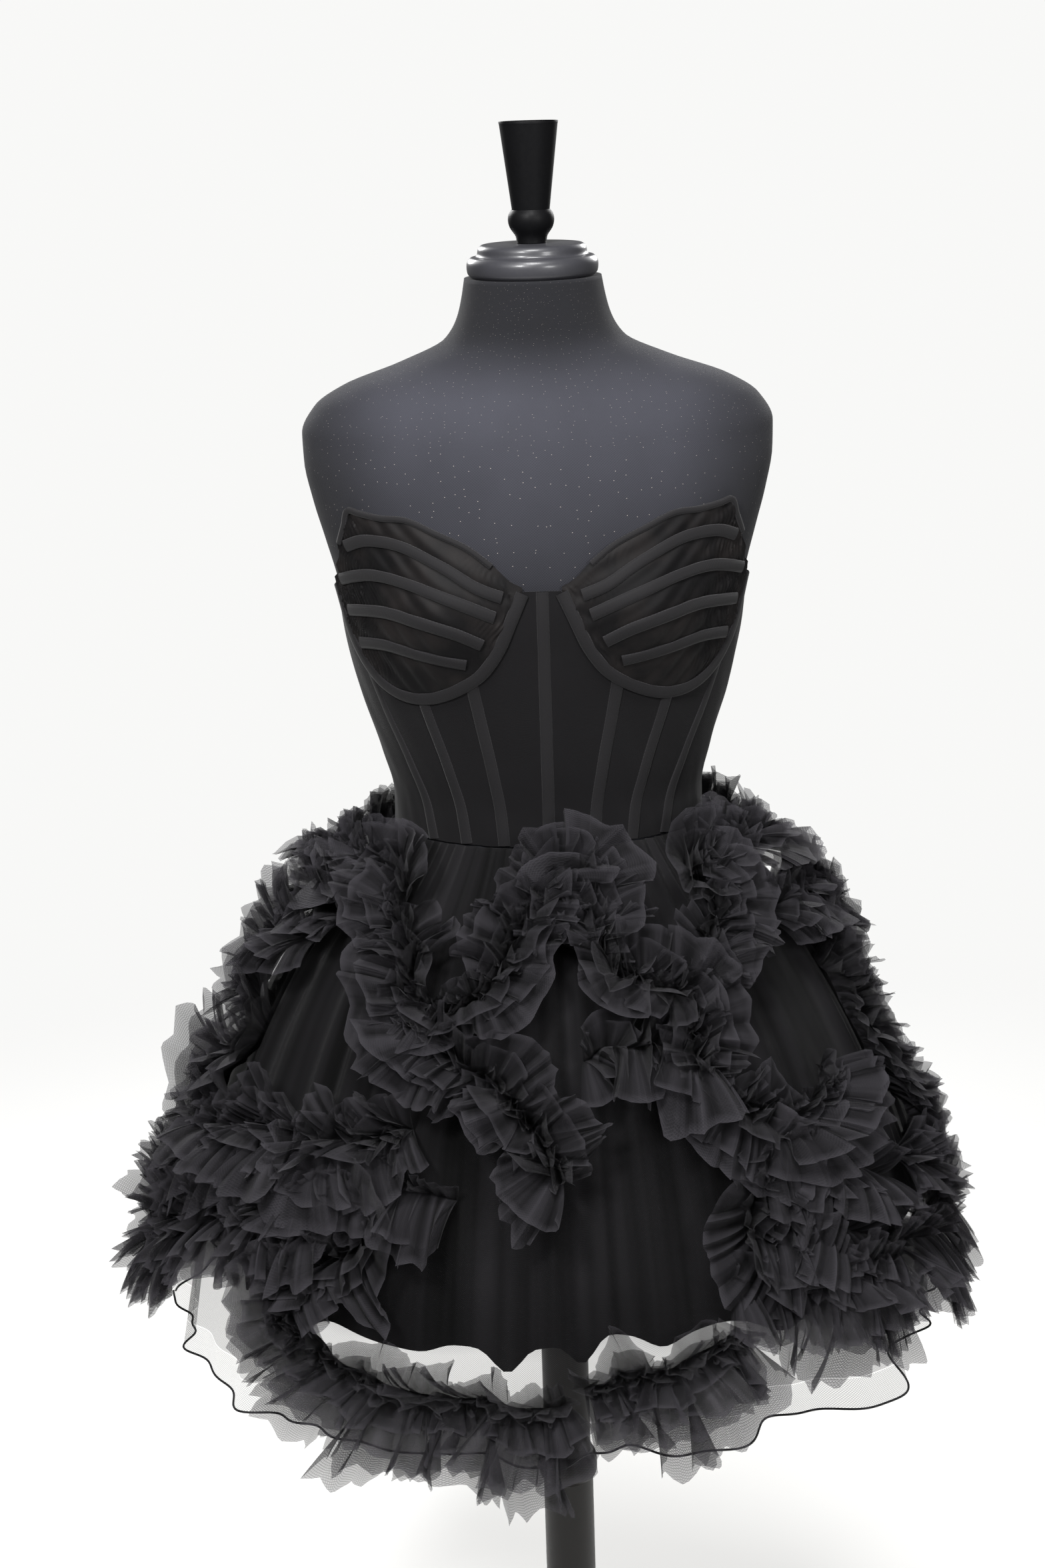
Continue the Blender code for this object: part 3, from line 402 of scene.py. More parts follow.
# Net skirt: the solid's soft folds, its gathers at the waist, finer folds below and the flutes of the hem
def skirt_point(angle, height):
    point = oval(SKIRT, angle, height)
    height = point[..., 2]
    turn = np.radians(angle)
    out = unit(point * (1, 1, 0))
    gathers = np.cos(WAIST_GATHERS * turn + 2.2 * np.sin(7 * turn) + 1.4 * np.sin(13 * turn + 2))
    gathers = 0.0011 * (1 + gathers) * ease(height, 0.93, 1.02)
    small = np.cos(43 * turn + 1.7 * np.sin(4 * turn + 0.5) + 1.1 * np.sin(9 * turn))
    small = 0.0052 * small * (0.6 + 0.4 * np.sin(5 * turn)) * ease(height, 1.025, 0.93)
    depth = smooth(FOLD_DEPTH, height) * fold(angle) + gathers + small
    depth = depth + smooth(FLUTE_SHARE, height) * flute(angle)
    return point + out * depth[..., None]


def unit(vectors):
    return vectors / np.linalg.norm(vectors, axis=-1, keepdims=True)


def normal_of(surface, angle, height):
    angle, height = np.asarray(angle, float), np.asarray(height, float)
    along = surface(angle + 0.5, height) - surface(angle - 0.5, height)
    up = surface(angle, height + 0.001) - surface(angle, height - 0.001)
    return unit(np.cross(along, up))


def moved_out(surface, angle, height, out):
    return surface(angle, height) + normal_of(surface, angle, height) * np.asarray(out)[..., None]


# Distance of each point from the first one along a line
def distances(points):
    return np.concatenate(([0.0], np.cumsum(np.linalg.norm(np.diff(points, axis=0), axis=1))))


# Points at even steps along a curve through rows of a table, smooth between the rows
def resample(rows, scale, step=None, count=None):
    rows = np.array(rows, float)
    padded = np.vstack((rows[0], rows, rows[-1]))
    t = np.linspace(0, 1, 12, endpoint=False)[:, None]
    fine = []
    for before, a, b, after in zip(padded, padded[1:], padded[2:], padded[3:]):
        bend = 2 * before - 5 * a + 4 * b - after
        twist = 3 * a - before - 3 * b + after
        fine.append(0.5 * (2 * a + (b - before) * t + bend * t**2 + twist * t**3))
    fine = np.vstack(fine + [rows[-1:]])
    places = scale(fine[:, 0], fine[:, 1])
    run = distances(places)
    count = count or max(2, round(run[-1] / step))
    wanted = np.linspace(0, run[-1], count + 1)
    return np.stack([np.interp(wanted, run, fine[:, c]) for c in range(rows.shape[1])], axis=1)


# Smooth chance values along a run, one for each pitch and soft between
def drift(chance, run, pitch):
    count = int(run[-1] / pitch) + 3
    knots = chance.uniform(-1, 1, count)
    place = run / pitch + 0.5
    i = np.minimum(place.astype(int), count - 2)
    return knots[i] + (knots[i + 1] - knots[i]) * ease(place - i, 0.0, 1.0)


# Phase and strength of uneven folds along a run, each about one pitch long
def uneven_folds(chance, run, pitch, spread):
    count = int(run[-1] / pitch * 1.6) + 4
    ends = np.concatenate(([0.0], np.cumsum(pitch * (1 + spread * chance.uniform(-1, 1, count)))))
    phase = np.interp(run, ends, math.pi * np.arange(count + 1)) + chance.uniform(0, 2 * math.pi)
    strength = np.interp(run, ends, chance.uniform(0.55, 1.25, count + 1))
    return phase, strength


# Angle of half the gap that is left at a seam
def seam_half_gap(radius):
    return math.degrees(0.6 * GAP / radius)


def seam_angle(seam, height):
    return seam[1] + (seam[2] - seam[1]) * (height - WAIST) / (1.17 - WAIST)


def panel_top(angle):
    angle = np.abs(np.asarray(angle, float))
    wire = np.interp(angle, [row[0] for row in UNDERWIRE], [row[1] for row in UNDERWIRE])
    wire = np.where(angle < UNDERWIRE[0][0], UNDERWIRE[0][1] + 0.002, wire)
    return np.where(angle < UNDERWIRE[-1][0], wire, smooth(BACK_EDGE, angle))


# Height to leave on each side of the underwire line, more where it is steep, so that the gap keeps its width
def wire_gap(angle):
    angle = np.clip(np.abs(angle), UNDERWIRE[0][0] + 1.0, UNDERWIRE[-1][0] - 1.0)
    run = np.linalg.norm(worn_point(angle + 1.0, 1.2) - worn_point(angle - 1.0, 1.2), axis=-1)
    return 0.00035 * np.sqrt(1 + ((panel_top(angle + 1.0) - panel_top(angle - 1.0)) / run) ** 2)


def seam_top(seam):
    height = 1.17
    for _ in range(8):
        height = float(panel_top(seam_angle(seam, height)))
    return height


# Points kept a gap outside the skirt or the bodice that they hang over
def kept_clear(points, gap):
    height = points[..., 2]
    skirt = height < WAIST
    across, front, back = (
        np.where(skirt, smooth(SKIRT, height, k), smooth(FORM, height, k) + 0.004) for k in (1, 2, 3)
    )
    depth = np.where(points[..., 1] < 0, front, back)
    ratio = np.hypot(points[..., 0] / across, points[..., 1] / depth)
    angle = np.degrees(np.arctan2(points[..., 0] / across, -points[..., 1] / depth))
    radius = np.hypot(points[..., 0], points[..., 1])
    folds = smooth(FOLD_DEPTH, height) * fold(angle) + smooth(FLUTE_SHARE, height) * flute(angle)
    swell = np.where(skirt, folds, 0)
    least = 1 + (gap + swell) * ratio / np.maximum(radius, 0.01)
    push = np.maximum(least / np.maximum(ratio, 0.01), 1.0)
    return points * np.stack((push, push, np.ones_like(push)), axis=-1)


def select_only(piece):
    bpy.ops.object.select_all(action="DESELECT")
    piece.select_set(True)
    bpy.context.view_layer.objects.active = piece


def finish_mesh(piece, material, crease=40.0):
    select_only(piece)
    piece.data.materials.clear()
    piece.data.materials.append(material)
    bpy.ops.object.shade_smooth_by_angle(angle=math.radians(crease))


# Cloth cut to its flat size as a grid, then laid on its places, columns to the right and rows upwards
def lay_sheet(name, points, cut, material, wall=0.0, closed=False, crease=50.0):
    rows, columns = points.shape[:2]
    bpy.ops.object.select_all(action="DESELECT")
    bpy.ops.mesh.primitive_grid_add(
        x_subdivisions=columns - 1, y_subdivisions=rows - 1, size=1.0, location=(0, 0, 0),
    )
    sheet = bpy.context.active_object
    sheet.name = name
    mesh = sheet.data
    mesh.name = name
    if len(mesh.vertices) != rows * columns:
        raise RuntimeError(f"{name}: the grid has {len(mesh.vertices)} points, not {rows * columns}")
    mesh.vertices.foreach_set("co", np.ascontiguousarray(points, dtype=np.float32).reshape(-1))
    flat = np.empty(len(mesh.loops) * 2, dtype=np.float32)
    mesh.uv_layers[0].data.foreach_get("uv", flat)
    flat = flat.reshape(-1, 2) * np.array(cut, dtype=np.float32)
    mesh.uv_layers[0].data.foreach_set("uv", flat.reshape(-1))
    mesh.uv_layers[0].name = "cut"
    mesh.update()
    select_only(sheet)
    if closed:
        bpy.ops.object.mode_set(mode="EDIT")
        bpy.ops.mesh.select_all(action="SELECT")
        bpy.ops.mesh.remove_doubles(threshold=0.00002)
        bpy.ops.object.mode_set(mode="OBJECT")
    if wall:
        solid = sheet.modifiers.new("wall", "SOLIDIFY")
        solid.thickness = wall
        solid.offset = -1.0
        bpy.ops.object.modifier_apply(modifier=solid.name)
    finish_mesh(sheet, material, crease)
    return sheet


# Length of a row of points, for a piece's flat size
def length_of(points):
    return float(np.linalg.norm(np.diff(points, axis=0), axis=1).sum())


def flat_size(points):
    width = np.mean([length_of(row) for row in points[:: max(1, len(points) // 6)]])
    columns = points.shape[1]
    height = np.mean([length_of(points[:, c]) for c in range(0, columns, max(1, columns // 6))])
    return float(width), float(height)


def area_of(points):
    diagonals = np.cross(points[1:, 1:] - points[:-1, :-1], points[1:, :-1] - points[:-1, 1:])
    return float(0.5 * np.linalg.norm(diagonals, axis=-1).sum())


def stand_for(piece, *nodes):
    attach(piece, "root")
    if nodes:
        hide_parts(*nodes)
    return piece


# Shaped sheet in place of a solid, cut from the rectangle of its flat size
def lay_piece(name, node, points, material, wall=0.0, crease=50.0):
    sheet = lay_sheet(name, points, flat_size(points), material, wall, crease=crease)
    stand_for(sheet, node)


# Socket set to a plain value or fed by another one, where a colour of three parts gets its fourth
def feed(tree, socket, value):
    if isinstance(value, bpy.types.NodeSocket):
        tree.links.new(value, socket)
    elif socket.type == "RGBA":
        socket.default_value = (*value, 1.0)
    else:
        socket.default_value = value


def add_node(tree, kind, values=None, **settings):
    node = tree.nodes.new(kind)
    for key, value in settings.items():
        setattr(node, key, value)
    for key, value in (values or {}).items():
        feed(tree, node.inputs[key], value)
    return node


def math_node(tree, operation, *values):
    node = add_node(tree, "ShaderNodeMath", operation=operation)
    for socket, value in zip(node.inputs, values):
        feed(tree, socket, value)
    return node.outputs[0]


def times(tree, first, second):
    return math_node(tree, "MULTIPLY", first, second)


# Value moved from one range to another and held inside it
def spread(tree, value, first=0.0, last=1.0, to_first=0.0, to_last=1.0, kind="LINEAR"):
    ends = {"Value": value, "From Min": first, "From Max": last, "To Min": to_first, "To Max": to_last}
    return add_node(tree, "ShaderNodeMapRange", ends, interpolation_type=kind).outputs[0]


def axes_of(tree, vector):
    return add_node(tree, "ShaderNodeSeparateXYZ", {"Vector": vector}).outputs


def mix_colours(tree, factor, first, second, kind="MIX"):
    values = {"Factor": factor, "A": first, "B": second}
    return add_node(tree, "ShaderNodeMix", values, data_type="RGBA", blend_type=kind).outputs["Result"]


def point_value(tree, name):
    return add_node(tree, "ShaderNodeAttribute", attribute_name=name).outputs["Fac"]


def cut_vector(tree):
    return add_node(tree, "ShaderNodeUVMap", uv_map="cut").outputs[0]


def object_vector(tree):
    return tree.nodes.new("ShaderNodeTexCoord").outputs["Object"]


def lighter(colour, share):
    return tuple(min(1.0, part * share) for part in colour)


def new_group(name, inputs, outputs):
    tree = bpy.data.node_groups.new(name, "ShaderNodeTree")
    tree.interface.new_socket(name="Vector", in_out="INPUT", socket_type="NodeSocketVector")
    for label, value in inputs.items():
        socket = tree.interface.new_socket(name=label, in_out="INPUT", socket_type="NodeSocketFloat")
        socket.default_value = value
    for label in outputs:
        tree.interface.new_socket(name=label, in_out="OUTPUT", socket_type="NodeSocketFloat")
    return tree, tree.nodes.new("NodeGroupInput").outputs, tree.nodes.new("NodeGroupOutput").inputs


# Plain weave: threads over and under each other
def weave_group(name):
    tree, given, result = new_group(name, {"Threads": 1500.0}, ("Height",))
    place = axes_of(tree, given["Vector"])
    turns = [times(tree, times(tree, place[axis], given["Threads"]), math.pi) for axis in "XY"]
    feed(tree, result["Height"], times(tree, *(math_node(tree, "SINE", turn) for turn in turns)))
    return tree


# Net: slanting threads that cross, with open holes between them
def net_group(name):
    tree, given, result = new_group(name, {"Holes": 900.0, "Thread": 0.3}, ("Cover", "Height"))
    place = axes_of(tree, given["Vector"])
    threads = []
    for operation in ("ADD", "SUBTRACT"):
        slant = times(tree, math_node(tree, operation, place["X"], place["Y"]), given["Holes"])
        threads.append(math_node(tree, "ABSOLUTE", math_node(tree, "SINE", times(tree, slant, math.pi))))
    nearest = math_node(tree, "MINIMUM", *threads)
    cover = spread(tree, nearest, 0.0, times(tree, given["Thread"], 2.0), 1.0, 0.0)
    for label in ("Cover", "Height"):
        feed(tree, result[label], cover)
    return tree


# Long soft streaks that run along the net's folds: a crushed texture in its bump, and painted light and shade
# in its colour
def streaks_group(name):
    tree, given, result = new_group(name, {"Across": 60.0, "Along": 3.0}, ("Streak",))
    place = axes_of(tree, given["Vector"])
    drawn_out = {"X": times(tree, place["X"], given["Across"]), "Y": times(tree, place["Y"], given["Along"])}
    vector = add_node(tree, "ShaderNodeCombineXYZ", drawn_out).outputs[0]
    values = {"Vector": vector, "Scale": 1.0, "Detail": 3.0, "Roughness": 0.6}
    noise = add_node(tree, "ShaderNodeTexNoise", values).outputs["Fac"]
    feed(tree, result["Streak"], spread(tree, noise, 0.34, 0.66))
    return tree


# Uneven dye and wear: soft patches with a finer grain in them
def patches_group(name):
    tree, given, result = new_group(name, {"Scale": 20.0}, ("Patch", "Grain"))
    for label, finer in (("Patch", 1.0), ("Grain", 14.0)):
        scale = times(tree, given["Scale"], finer)
        values = {"Vector": given["Vector"], "Scale": scale, "Detail": 3.0, "Roughness": 0.55}
        feed(tree, result[label], add_node(tree, "ShaderNodeTexNoise", values).outputs["Fac"])
    return tree


# Rows of stitches a little in from both edges of a tape, in the dent that they pull
def stitches_group(name):
    sizes = {"Width": CHANNEL_WIDTH, "Inset": 0.0011, "Stitch": 0.0026}
    tree, given, result = new_group(name, sizes, ("Thread", "Height"))
    place = axes_of(tree, given["Vector"])
    edge = math_node(tree, "MINIMUM", place["X"], math_node(tree, "SUBTRACT", given["Width"], place["X"]))
    off = math_node(tree, "ABSOLUTE", math_node(tree, "SUBTRACT", edge, given["Inset"]))
    line = spread(tree, off, 0.0002, 0.0005, 1.0, 0.0)
    beat = math_node(tree, "FRACT", math_node(tree, "DIVIDE", place["Y"], given["Stitch"]))
    middle = math_node(tree, "ABSOLUTE", math_node(tree, "SUBTRACT", beat, 0.5))
    thread = times(tree, line, math_node(tree, "LESS_THAN", middle, 0.36))
    dent = spread(tree, off, 0.0, 0.0010, -1.0, 0.0)
    feed(tree, result["Thread"], thread)
    feed(tree, result["Height"], math_node(tree, "ADD", dent, times(tree, thread, 0.8)))
    return tree


GROUPS = {
    "plain_weave": weave_group, "open_net": net_group, "streaks": streaks_group, "uneven_dye": patches_group,
    "edge_stitches": stitches_group,
}


# Group made once and placed in a material with its own values
def place_group(tree, name, vector, **values):
    group = bpy.data.node_groups.get(name) or GROUPS[name](name)
    return add_node(tree, "ShaderNodeGroup", {"Vector": vector, **values}, node_tree=group).outputs


def new_finish(name, **sockets):
    material = bpy.data.materials.get(name)
    if material:
        bpy.data.materials.remove(material)
    material = bpy.data.materials.new(name)
    material.use_nodes = True
    tree = material.node_tree
    shader = next(node for node in tree.nodes if node.type == "BSDF_PRINCIPLED")
    for key, value in sockets.items():
        shader.inputs[key.replace("_", " ")].default_value = value
    return material, tree, shader.inputs


# Cloth's own colour, uneven by its dye
def dyed(tree, patches, colour, darkest, lightest):
    return mix_colours(tree, patches["Patch"], lighter(colour, darkest), lighter(colour, lightest))


def bump_from(tree, shader, height, strength, distance):
    bump = add_node(tree, "ShaderNodeBump", {"Height": height, "Strength": strength, "Distance": distance})
    feed(tree, shader["Normal"], bump.outputs[0])


# Knit of the form, with specks of lint. Its colour holds painted light and shade: lighter high on the front,
# darker below and at the sides, and a painted shadow of the cap on the neck
def jersey_finish(colour):
    material, tree, shader = new_finish(
        "form_jersey_knit", Roughness=0.85, Sheen_Weight=0.05, Sheen_Roughness=0.6, Specular_IOR_Level=0.2,
    )
    vector = object_vector(tree)
    place = axes_of(tree, vector)
    cloth = dyed(tree, place_group(tree, "uneven_dye", vector, Scale=14.0), colour, 0.8, 1.25)
    # Painted shadow of the neck cap: the neck darker towards its top
    neck = spread(tree, place["Z"], 1.375, 1.435, 0.0, 0.90, "SMOOTHSTEP")
    cloth = mix_colours(tree, neck, cloth, lighter(colour, 0.16))
    # Painted light and shade: the knit lighter high on the front, darker lower down and towards the sides
    chest_light = spread(tree, place["Z"], 1.24, 1.37, 0.50, 1.18)
    side = spread(tree, math_node(tree, "ABSOLUTE", place["X"]), 0.095, 0.175, 1.0, 0.42, "SMOOTHSTEP")
    cloth = mix_colours(tree, 1.0, cloth, times(tree, chest_light, side), "MULTIPLY")
    cells = add_node(
        tree, "ShaderNodeTexVoronoi", {"Vector": cut_vector(tree), "Scale": 118.0}, voronoi_dimensions="2D",
    ).outputs
    near = math_node(tree, "LESS_THAN", cells["Distance"], 0.032)
    chance = add_node(tree, "ShaderNodeSeparateColor", {"Color": cells["Color"]}).outputs[0]
    lint = times(tree, near, math_node(tree, "GREATER_THAN", chance, 0.45))
    feed(tree, shader["Base Color"], mix_colours(tree, lint, cloth, (0.30, 0.27, 0.25)))
    knit = place_group(tree, "plain_weave", cut_vector(tree), Threads=1050.0)
    bump_from(tree, shader, math_node(tree, "ADD", knit["Height"], times(tree, lint, 2.0)), 0.35, 0.0003)
    return material


# Lacquer or enamel: a little uneven in tone and gloss
def lacquer_finish(name, colour, rough, coat, gloss):
    material, tree, shader = new_finish(name, Coat_Weight=coat, Coat_Roughness=0.18, Specular_IOR_Level=gloss)
    patches = place_group(tree, "uneven_dye", object_vector(tree), Scale=24.0)
    feed(tree, shader["Base Color"], dyed(tree, patches, colour, 0.85, 1.2))
    feed(tree, shader["Roughness"], spread(tree, patches["Grain"], 0.0, 1.0, rough * 0.8, rough * 1.25))
    bump_from(tree, shader, patches["Grain"], 0.12, 0.0004)
    return material


# Close cloth: weave, patches and a little sheen
def close_cloth_finish(name, colour, threads, contrast, rough, sheen, patch):
    material, tree, shader = new_finish(
        name, Roughness=rough, Sheen_Weight=sheen, Sheen_Roughness=0.5, Specular_IOR_Level=CLOTH_GLOSS,
    )
    patches = place_group(tree, "uneven_dye", object_vector(tree), Scale=patch)
    feed(tree, shader["Base Color"], dyed(tree, patches, colour, 1 - contrast, 1 + contrast))
    weave = place_group(tree, "plain_weave", cut_vector(tree), Threads=threads)
    height = math_node(tree, "ADD", weave["Height"], times(tree, patches["Grain"], 0.6))
    bump_from(tree, shader, height, 0.3, 0.00025)
    return material


# Ruched net of the cups: dark where it lies double, brownish where the light comes through
def cup_finish(colour, through):
    material, tree, shader = new_finish(
        "ruched_cup_net", Roughness=0.55, Sheen_Weight=0.04, Sheen_Roughness=0.4,
        Specular_IOR_Level=CLOTH_GLOSS,
    )
    patches = place_group(tree, "uneven_dye", object_vector(tree), Scale=26.0)
    thin = spread(tree, patches["Patch"], 0.42, 0.66)
    feed(tree, shader["Base Color"], mix_colours(tree, thin, colour, through))
    net = place_group(tree, "open_net", cut_vector(tree), Holes=1100.0, Thread=0.25)
    bump_from(tree, shader, net["Height"], 0.25, 0.0002)
    return material


def tape_finish(name, colour, width):
    material, tree, shader = new_finish(
        name, Roughness=0.70, Sheen_Weight=0.12, Sheen_Roughness=0.45, Specular_IOR_Level=0.18,
    )
    vector = cut_vector(tree)
    stitches = place_group(tree, "edge_stitches", vector, Width=width)
    feed(tree, shader["Base Color"], mix_colours(tree, stitches["Thread"], colour, lighter(colour, 2.2)))
    weave = place_group(tree, "plain_weave", vector, Threads=1900.0)
    height = math_node(tree, "ADD", times(tree, weave["Height"], 0.25), stitches["Height"])
    bump_from(tree, shader, height, 0.6, 0.0004)
    return material


# Open net: its threads cover the cloth more or less, and its holes let the light through. Streaks run along its
# folds, by how many go across and along and how much they differ, as bumps and as painted light and shade in
# its colour. It can close above a height
def open_net_finish(name, colour, holes, thread, cover, gloss, streaks, crush=2.0, closed=None, edge=None):
    material, tree, shader = new_finish(
        name, Roughness=gloss[0], Sheen_Weight=gloss[1], Sheen_Roughness=0.35, Specular_IOR_Level=CLOTH_GLOSS,
    )
    across, along, contrast = streaks
    streak = place_group(tree, "streaks", cut_vector(tree), Across=across, Along=along)["Streak"]
    # Painted light and shade of the folds: the net's colour lighter and darker along the streaks
    cloth = mix_colours(tree, streak, lighter(colour, 1 - contrast), lighter(colour, 1 + contrast * 1.4))
    net = place_group(tree, "open_net", cut_vector(tree), Holes=holes, Thread=thread)
    covered = spread(tree, net["Cover"], 0.0, 1.0, *cover)
    if closed:
        more = spread(tree, axes_of(tree, object_vector(tree))["Z"], *closed, 0.0, 0.8)
        covered = math_node(tree, "ADD", covered, times(tree, math_node(tree, "SUBTRACT", 1.0, covered), more))
    if edge:
        # Painted shade and highlight of the pleats: the net darkened in their valleys and lightened on their
        # ridges
        pleat_shading = spread(tree, point_value(tree, "pleat_shading"), 0.0, 1.0, *PAINTED_PLEAT_TONES)
        cloth = mix_colours(tree, 1.0, cloth, pleat_shading, "MULTIPLY")
        # Painted highlight: the net lighter out along a wing and much lighter at its cut edge, as the sheen
        # there
        cloth = mix_colours(tree, point_value(tree, "edge"), cloth, lighter(colour, edge))
        thinner = math_node(tree, "SUBTRACT", 1.0, times(tree, point_value(tree, "reach"), WING_THINNER))
        covered = times(tree, covered, thinner)
    feed(tree, shader["Base Color"], cloth)
    feed(tree, shader["Alpha"], covered)
    height = math_node(tree, "ADD", net["Height"], times(tree, streak, crush))
    bump_from(tree, shader, height, 0.9, 0.0002)
    return material


# Pale floor that fades into the pale room a few metres out
def stage_finish(colour):
    material, tree, shader = new_finish("studio_floor", Roughness=0.9)
    patches = place_group(tree, "uneven_dye", object_vector(tree), Scale=0.8)
    feed(tree, shader["Base Color"], dyed(tree, patches, colour, 0.97, 1.02))
    away = add_node(tree, "ShaderNodeVectorMath", {"Vector": object_vector(tree)}, operation="LENGTH")
    feed(tree, shader["Alpha"], spread(tree, away.outputs["Value"], 0.6, 2.6, 1.0, 0.0, "SMOOTHSTEP"))
    return material


# Turned piece: a disc drawn up ring by ring through its profile of height, radius rows
def turned_piece(name, profile, material, sectors=96):
    bpy.ops.object.select_all(action="DESELECT")
    height, radius = profile[0]
    bpy.ops.mesh.primitive_circle_add(vertices=sectors, radius=radius, fill_type="NGON", location=(0, 0, 0))
    piece = bpy.context.active_object
    piece.name = name
    piece.data.name = name
    bpy.ops.object.mode_set(mode="EDIT")
    bpy.ops.mesh.select_all(action="SELECT")
    bpy.ops.transform.translate(value=(0, 0, height))
    for next_height, next_radius in profile[1:]:
        bpy.ops.mesh.extrude_region_move(TRANSFORM_OT_translate={"value": (0, 0, next_height - height)})
        ratio = next_radius / radius
        bpy.ops.transform.resize(value=(ratio, ratio, 1.0), center_override=(0, 0, next_height))
        height, radius = next_height, next_radius
    bpy.ops.mesh.select_all(action="SELECT")
    bpy.ops.mesh.normals_make_consistent(inside=False)
    bpy.ops.object.mode_set(mode="OBJECT")
    finish_mesh(piece, material, 38.0)
    return piece


# Profile with soft shoulders between its rows
def rounded_profile(rows, count):
    rows = np.array(rows, float)
    line = resample(rows, lambda z, r: np.stack((z, r), axis=-1), count=count)
    return [(float(z), float(r)) for z, r in line]


def make_form(sizes, colours):
    heights = np.concatenate((np.linspace(FORM_BOTTOM, 1.34, 88), np.linspace(1.345, FORM_TOP, 42)))
    points = form_point(np.linspace(0, 360, 145)[None, :], heights[:, None])
    jersey = jersey_finish(colours.jersey)
    form = lay_sheet("dress_form_skin", points, (0.95, 0.85), jersey, closed=True, crease=60)
    bpy.ops.object.mode_set(mode="EDIT")
    bpy.ops.mesh.select_all(action="DESELECT")
    bpy.ops.mesh.select_non_manifold()
    bpy.ops.mesh.edge_face_add()
    bpy.ops.mesh.select_all(action="SELECT")
    bpy.ops.mesh.normals_make_consistent(inside=False)
    bpy.ops.object.mode_set(mode="OBJECT")
    stand_for(form, "dress_form")
    # The neck cap gets the lacquer colour five times lighter, partly a painted highlight standing in for its
    # broad satin gloss; the finial gets it half as light
    shiny_painted_highlight, dull = lighter(colours.lacquer, 5.0), lighter(colours.lacquer, 0.5)
    shiny_painted_highlight = lacquer_finish("turned_black_lacquer", shiny_painted_highlight, rough=0.42, coat=0.28, gloss=0.5)
    dull = lacquer_finish("finial_lacquer", dull, rough=0.50, coat=0.0, gloss=0.12)
    enamel = lacquer_finish("stand_enamel", colours.enamel, rough=0.44, coat=0.03, gloss=0.26)
    for node, profile, finish in (
        ("neck_cap", rounded_profile(CAP_PROFILE, 44), shiny_painted_highlight),
        ("finial", rounded_profile(FINIAL_PROFILE, 60), dull),
        ("stand_pole", POLE_PROFILE, enamel),
        ("stand_base", BASE_PROFILE, enamel),
    ):
        stand_for(turned_piece(f"{node}_turned", profile, finish), node)


# Small pulls of worn mesh, upright at the waist and slanting from the cups
def pulls(angle, height):
    turn = np.radians(angle)
    slant = np.sin(turn * 22 + (height - WAIST) * 95) * np.sin(turn * 7 + 1.3)
    upright = np.sin(turn * 41 + 1.5 * np.sin(height * 60)) * ease(height, 1.10, 1.04)
    return 0.00035 * slant + 0.00030 * upright


def make_bodice(sizes, colours):
    mesh = close_cloth_finish(
        "bodice_power_mesh", colours.bodice, threads=1600.0, contrast=0.28, rough=0.78, sheen=0.08, patch=15.0,
    )
    rise = np.linspace(0, 1, 34)[:, None]
    half_gap = np.zeros(18)
    half_gap[0] = seam_half_gap(WAIST_RADIUS)
    half_gap[-1] = -half_gap[0]
    for name, first, second in zip(PANELS, SEAMS, SEAMS[1:]):
        tops = np.linspace(seam_angle(first, seam_top(first)), seam_angle(second, seam_top(second)), 18)
        top = panel_top(tops) - wire_gap(tops)
        share = (tops - seam_angle(first, top)) / (seam_angle(second, top) - seam_angle(first, top))
        share = np.clip(share, 0.0, 1.0)
        share[0], share[-1] = 0.0, 1.0
        height = WAIST + (top - WAIST) * rise
        for side, word in SIDES:
            angle = seam_angle(first, height) * (1 - share) + seam_angle(second, height) * share
            angle = side * (angle + half_gap)
            out = BODICE_OUT + 0.0004 + pulls(angle, height) * np.sin(math.pi * share) ** 0.5
            points = moved_out(worn_point, angle, height, out)[:, ::side]
            lay_piece(
                f"panel_{name}_{word}", f"bodice_{name}_{word}", points, mesh,
                PANEL_WALL, 60,
            )


# How far the cup net stands between its tapes, and its ruching, deepest at the side
def cup_ruching(side, angle, height, low, high):
    away = np.minimum(height - low, high - height)
    for row in CUP_CHANNELS:
        inside = (angle > row[0][0] - 2) & (angle < row[-1][0] + 4)
        away = np.minimum(away, np.where(inside, np.abs(height - smooth(row, angle)), 1.0))
    puff = 1 - np.exp(-((away / 0.0060) ** 2))
    turn = np.radians(angle)
    creases = np.sin(turn * 205 + 9 * np.sin(height * 120 + side) + 260 * height)
    creases = creases * (0.65 + 0.35 * np.sin(turn * 61 + height * 90 + side))
    slants = np.sin(turn * 38 - height * 260 * (1 + 0.1 * side) + 2.0 * np.sin(turn * 9))
    gathered = ease(angle, 40, 62) + 0.5 * ease(angle, 26, 12)
    return puff * (0.0011 + 0.0013 * creases * gathered + 0.0008 * slants * (1 - 0.4 * gathered))


def make_cups(sizes, colours):
    net = cup_finish(colours.cup, colours.cup_through)
    angles = UNDERWIRE[0][0] + (UNDERWIRE[-1][0] - UNDERWIRE[0][0]) * np.linspace(0, 1, 150)
    low = panel_top(angles) + wire_gap(angles)
    high = smooth(NECKLINE, angles)
    height = low + (high - low) * np.linspace(0, 1, 66)[:, None]
    angle = np.broadcast_to(angles, height.shape)
    rippled = ease(height, high - 0.012, high) * ease(angle, 38, 50)
    for side, word in SIDES:
        ripple = 0.0014 * np.sin(np.radians(angle) * 58 + side) * rippled
        out = BODICE_OUT + 0.0006 + cup_ruching(side, angle, height, low, high) + ripple
        points = moved_out(worn_point, side * angle, height, out)[:, ::side]
        lay_piece(
            f"cup_{word}_ruched", f"cup_{word}", points, net, CUP_WALL, 60,
        )


